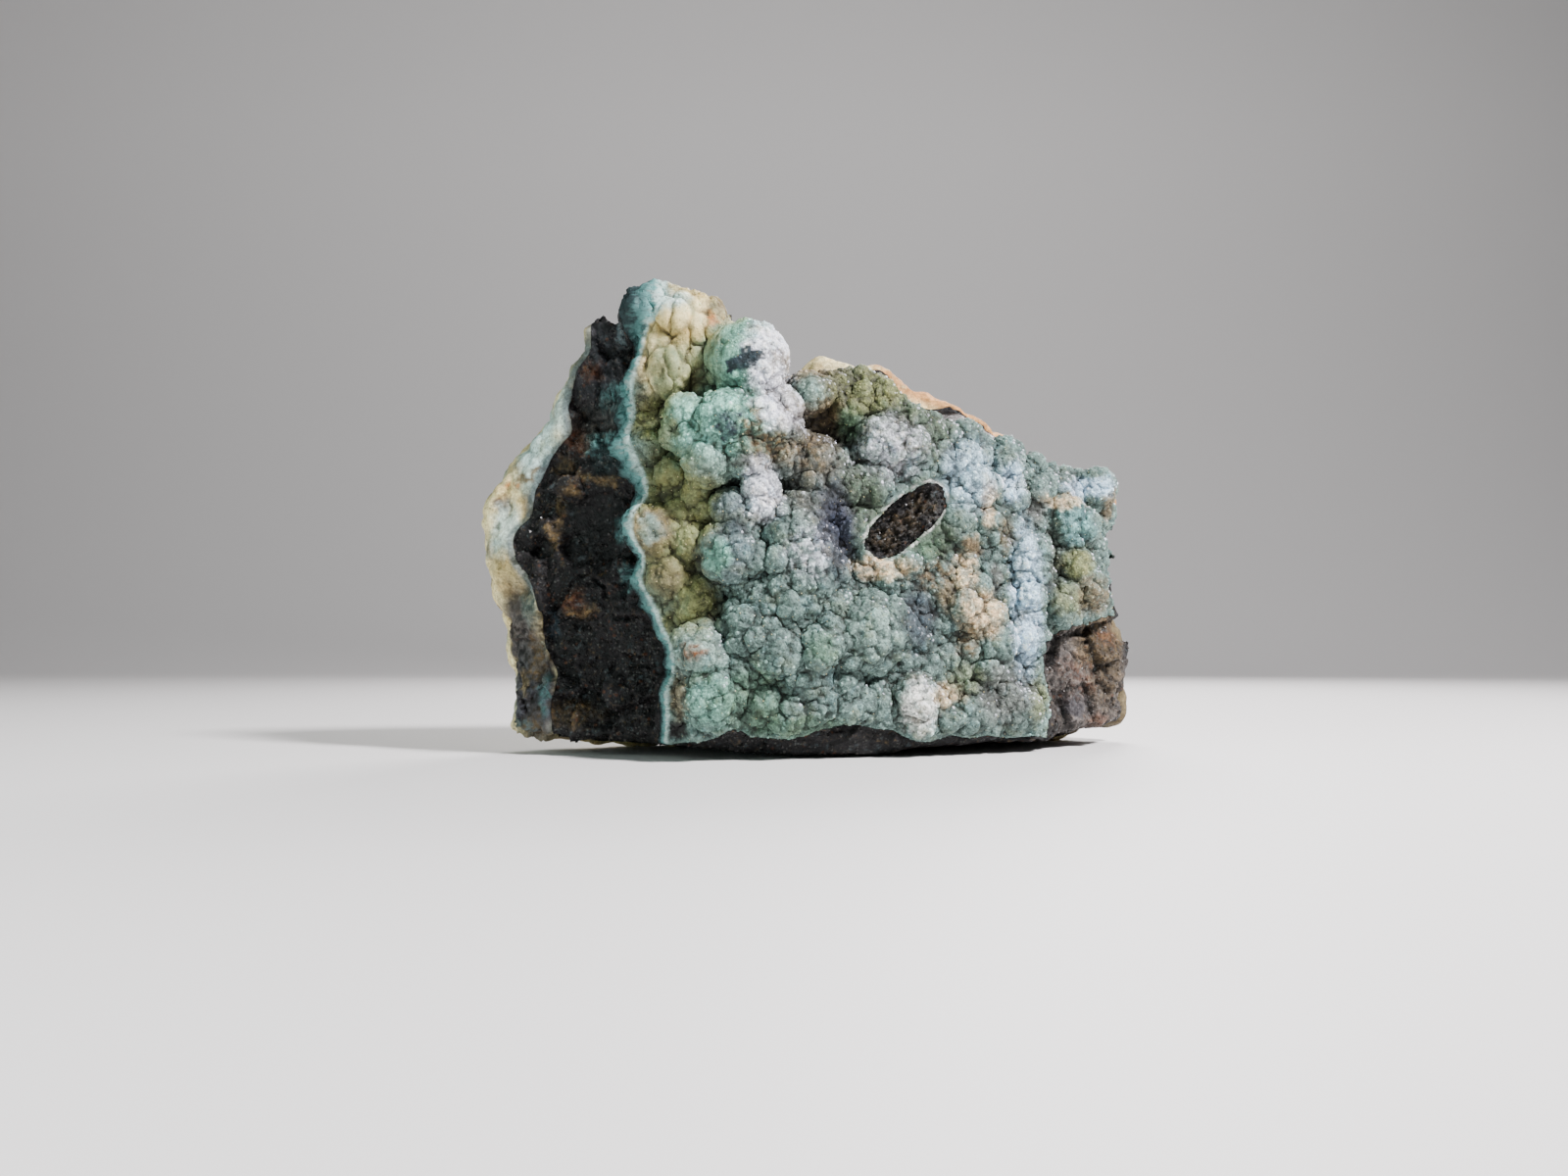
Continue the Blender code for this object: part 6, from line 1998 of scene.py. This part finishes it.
@dataclass
class CrystalGrains(Piece):
    """Small crystal points scattered over a piece."""

    name: str = "crust_grains"
    node: str = ""
    slot: str = "kidwellite"
    triangles: int = 190000
    spacing: float = 0.42
    least: float = 0.08
    most: float = 0.17
    seed: int = 5
    sink: float = 0.0
    round: bool = False

    def make(self, ground: bpy.types.Object, where: Array, material: bpy.types.Material) -> bpy.types.Object:
        """Grow the grains on a piece.

        Args:
            ground: the piece, still in the design frame.
            where: how densely they sit at each of its points, from 0 to 1.
            material: their finish.

        Returns:
            The grains as one mesh.
        """
        base = duplicate(ground, self.name)
        Skin(base).store("where", where)
        growth = Growth(self.name + "_growth")
        graph = growth.graph
        spacing = growth.size("spacing", self.spacing * MM)
        least = growth.size("least", self.least * MM)
        most = growth.size("most", self.most * MM)
        scatter = graph.node(
            "GeometryNodeDistributePointsOnFaces",
            {"distribute_method": "POISSON"},
            {"Mesh": growth.entry["Geometry"], "Distance Min": spacing, "Density Max": 2.0e7,
             "Density Factor": growth.attribute("where"), "Seed": self.seed},
        )
        lot = graph.node(
            "FunctionNodeRandomValue", {"data_type": "FLOAT"}, {"Min_001": least, "Max_001": most, "Seed": self.seed}
        )
        turn = graph.node(
            "FunctionNodeRandomValue",
            {"data_type": "FLOAT_VECTOR"},
            {"Min": (0.0, 0.0, 0.0), "Max": (3.1, 3.1, 3.1), "Seed": self.seed + 1},
        )
        if self.round:
            gem = graph.node("GeometryNodeMeshIcoSphere", None, {"Radius": 1.0, "Subdivisions": 1})
        else:
            gem = graph.node("GeometryNodeMeshUVSphere", None, {"Segments": 4, "Rings": 2, "Radius": 1.0})
        chance = graph.node("FunctionNodeRandomValue", {"data_type": "FLOAT"}, {"Seed": self.seed + 2})
        inward = graph.vector("SCALE", scatter["Normal"], 0.0 - lot["Value_001"] * self.sink)
        sunk = graph.node("GeometryNodeSetPosition", None, {"Geometry": scatter["Points"], "Offset": inward})
        marked = graph.node(
            "GeometryNodeStoreNamedAttribute",
            {"data_type": "FLOAT", "domain": "POINT"},
            {"Geometry": sunk["Geometry"], "Name": "lot", "Value": chance["Value_001"]},
        )
        grains = graph.node(
            "GeometryNodeInstanceOnPoints",
            None,
            {"Points": marked["Geometry"], "Instance": gem["Mesh"], "Rotation": turn["Value"], "Scale": lot["Value_001"]},
        )
        growth.close(grains["Instances"], material)
        growth.grow_on(base)
        if self.round:
            base.data.shade_smooth()
        LOG.info("%s: %d triangles", self.name, len(base.data.polygons))
        return base


@dataclass(frozen=True)
class Studio:
    """Camera at the photograph's place, soft lights and a plain pale floor."""

    eye: tuple[float, float, float] = (-3.8187, -151.2818, 11.6)
    pitch: float = 91.909
    lens: float = 33.75
    sweep: tuple[float, ...] = (-1200.0, 300.0, 250.0, 900.0, 1500.0)
    sweep_rows: int = 160

    def camera(self) -> None:
        """Place the camera."""
        data = bpy.data.cameras.new("camera")
        data.lens = self.lens
        data.sensor_width = 36.0
        data.clip_start = 0.005
        camera = bpy.data.objects.new("camera", data)
        camera.location = Vector(self.eye) * MM
        camera.rotation_euler = (math.radians(self.pitch), 0.0, 0.0)
        bpy.context.scene.collection.objects.link(camera)
        bpy.context.scene.camera = camera

    def light(self, name: str, place: tuple, size: float, power: float, colour: Colour) -> None:
        """Hang one soft lamp that looks at the specimen.

        Args:
            name: its name.
            place: where it hangs, in millimetres.
            size: width of its square face, in millimetres.
            power: watts.
            colour: its colour.
        """
        data = bpy.data.lights.new(name, "AREA")
        data.size = size * MM
        data.energy = power
        data.color = colour
        lamp = bpy.data.objects.new(name, data)
        lamp.location = Vector(place) * MM
        aim = Vector((0.0, 0.0, 20.0)) * MM - lamp.location
        lamp.rotation_euler = aim.to_track_quat("-Z", "Y").to_euler()
        bpy.context.scene.collection.objects.link(lamp)

    def floor(self) -> None:
        """Lay the floor, which sweeps up into a backdrop far behind the specimen."""
        bm = bmesh.new()
        bmesh.ops.create_grid(bm, x_segments=2, y_segments=self.sweep_rows, size=0.5)
        near, bend, radius, height, half_width = self.sweep
        arc = radius * math.pi / 2.0
        length = (bend - near) + arc + height
        for vert in bm.verts:
            along = (vert.co.y + 0.5) * length
            turned = min(max(along - (bend - near), 0.0), arc) / radius
            beyond = max(along - (bend - near) - arc, 0.0)
            y = near + min(along, bend - near) + radius * math.sin(turned)
            z = radius * (1.0 - math.cos(turned)) + beyond
            vert.co = Vector((vert.co.x * 2.0 * half_width, y, z)) * MM
        mesh = bpy.data.meshes.new("floor")
        bm.to_mesh(mesh)
        bm.free()
        mesh.shade_smooth()
        mesh.materials.append(BroadFloorFinish().make())
        floor = bpy.data.objects.new("floor", mesh)
        bpy.context.scene.collection.objects.link(floor)

    def make(self) -> None:
        """Set up everything round the specimen."""
        self.camera()
        self.floor()
        self.light("key", (190.0, -150.0, 230.0), 45.0, 3.3, (1.0, 0.965, 0.99))
        self.light("fill", (-240.0, -180.0, 90.0), 180.0, 0.42, (0.80, 1.0, 0.93))
        self.light("rim", (60.0, 200.0, 160.0), 120.0, 0.8, (1.0, 0.96, 0.97))
        world = bpy.data.worlds.new("studio")
        world.use_nodes = True
        ground = world.node_tree.nodes["Background"]
        ground.inputs["Color"].default_value = (0.86, 0.85, 0.88, 1.0)
        ground.inputs["Strength"].default_value = 0.115
        bpy.context.scene.world = world


GROWN_GAP = 0.05


def main() -> None:
    """Build the specimen and its studio."""
    logging.basicConfig(level=logging.INFO, format="%(message)s")
    Studio().make()
    form = Form()
    whole = WholeBody(form, Nodules())
    body = whole.make()
    LOG.info("whole body: %d faces", len(body.data.polygons))
    crust, back, rock = KidwelliteCrust(), PaleBackCrust(), GoethiteMatrix()
    crust_object = crust.make(whole, body)
    back_object = back.make(whole, body)
    rock_object = rock.make(whole, body)
    bpy.data.objects.remove(body, do_unlink=True)
    skin = Skin(crust_object)
    outer = (skin.y < form.crust_contact(skin.x, skin.z) - 0.4) & (skin.x > form.ridge_x(skin.z) - 0.1)
    olive = soft_oval(skin.x, skin.z, form.olive_zone)
    frosted = KidwelliteFinish().make()
    grains = CrystalGrains(spacing=0.5, least=0.11, most=0.25, sink=0.5, round=True)
    grains_object = grains.make(crust_object, crust.granular(skin, form), frosted)
    glints = CrystalGrains("crust_glints", "", "kidwellite", 60000, 0.7, 0.05, 0.1, 15)
    spark = GrainFinish("kidwellite_glints", Tint.CREAM.value, 0.8, 0.3).make()
    glints_object = glints.make(crust_object, np.clip(outer * (0.3 + 0.7 * olive), 0.0, 1.0), spark)
    sparks = CrystalGrains("rock_grains", "", "goethite", 110000, 0.5, 0.08, 0.22, 9)
    skin = Skin(rock_object)
    pit = (form.oval_distance(skin.x, skin.z) < 0.2) & (skin.y < form.front_face(skin.x, skin.z) + 4.0)
    outer = (skin.y < form.break_face(skin.x, skin.z) + 2.0) | form.in_patch(skin.x, skin.z)
    outer = np.where(pit, 1.0, 0.6 * outer * (1.0 - 0.8 * soft_oval(skin.x, skin.z, form.dish_zone)))
    dark = GrainFinish("goethite_grains", Tint.TAUPE.value, 0.35, 0.35).make()
    sparks_object = sparks.make(rock_object, outer, dark)
    crust.finish(crust_object, frosted, form)
    back.finish(back_object, PaleCrustFinish().make(), form)
    rock.finish(rock_object, GoethiteFinish().make(), form)
    grains.finish(grains_object, frosted, form)
    glints.finish(glints_object, spark, form)
    sparks.finish(sparks_object, dark, form)


if __name__ == "__main__":
    main()
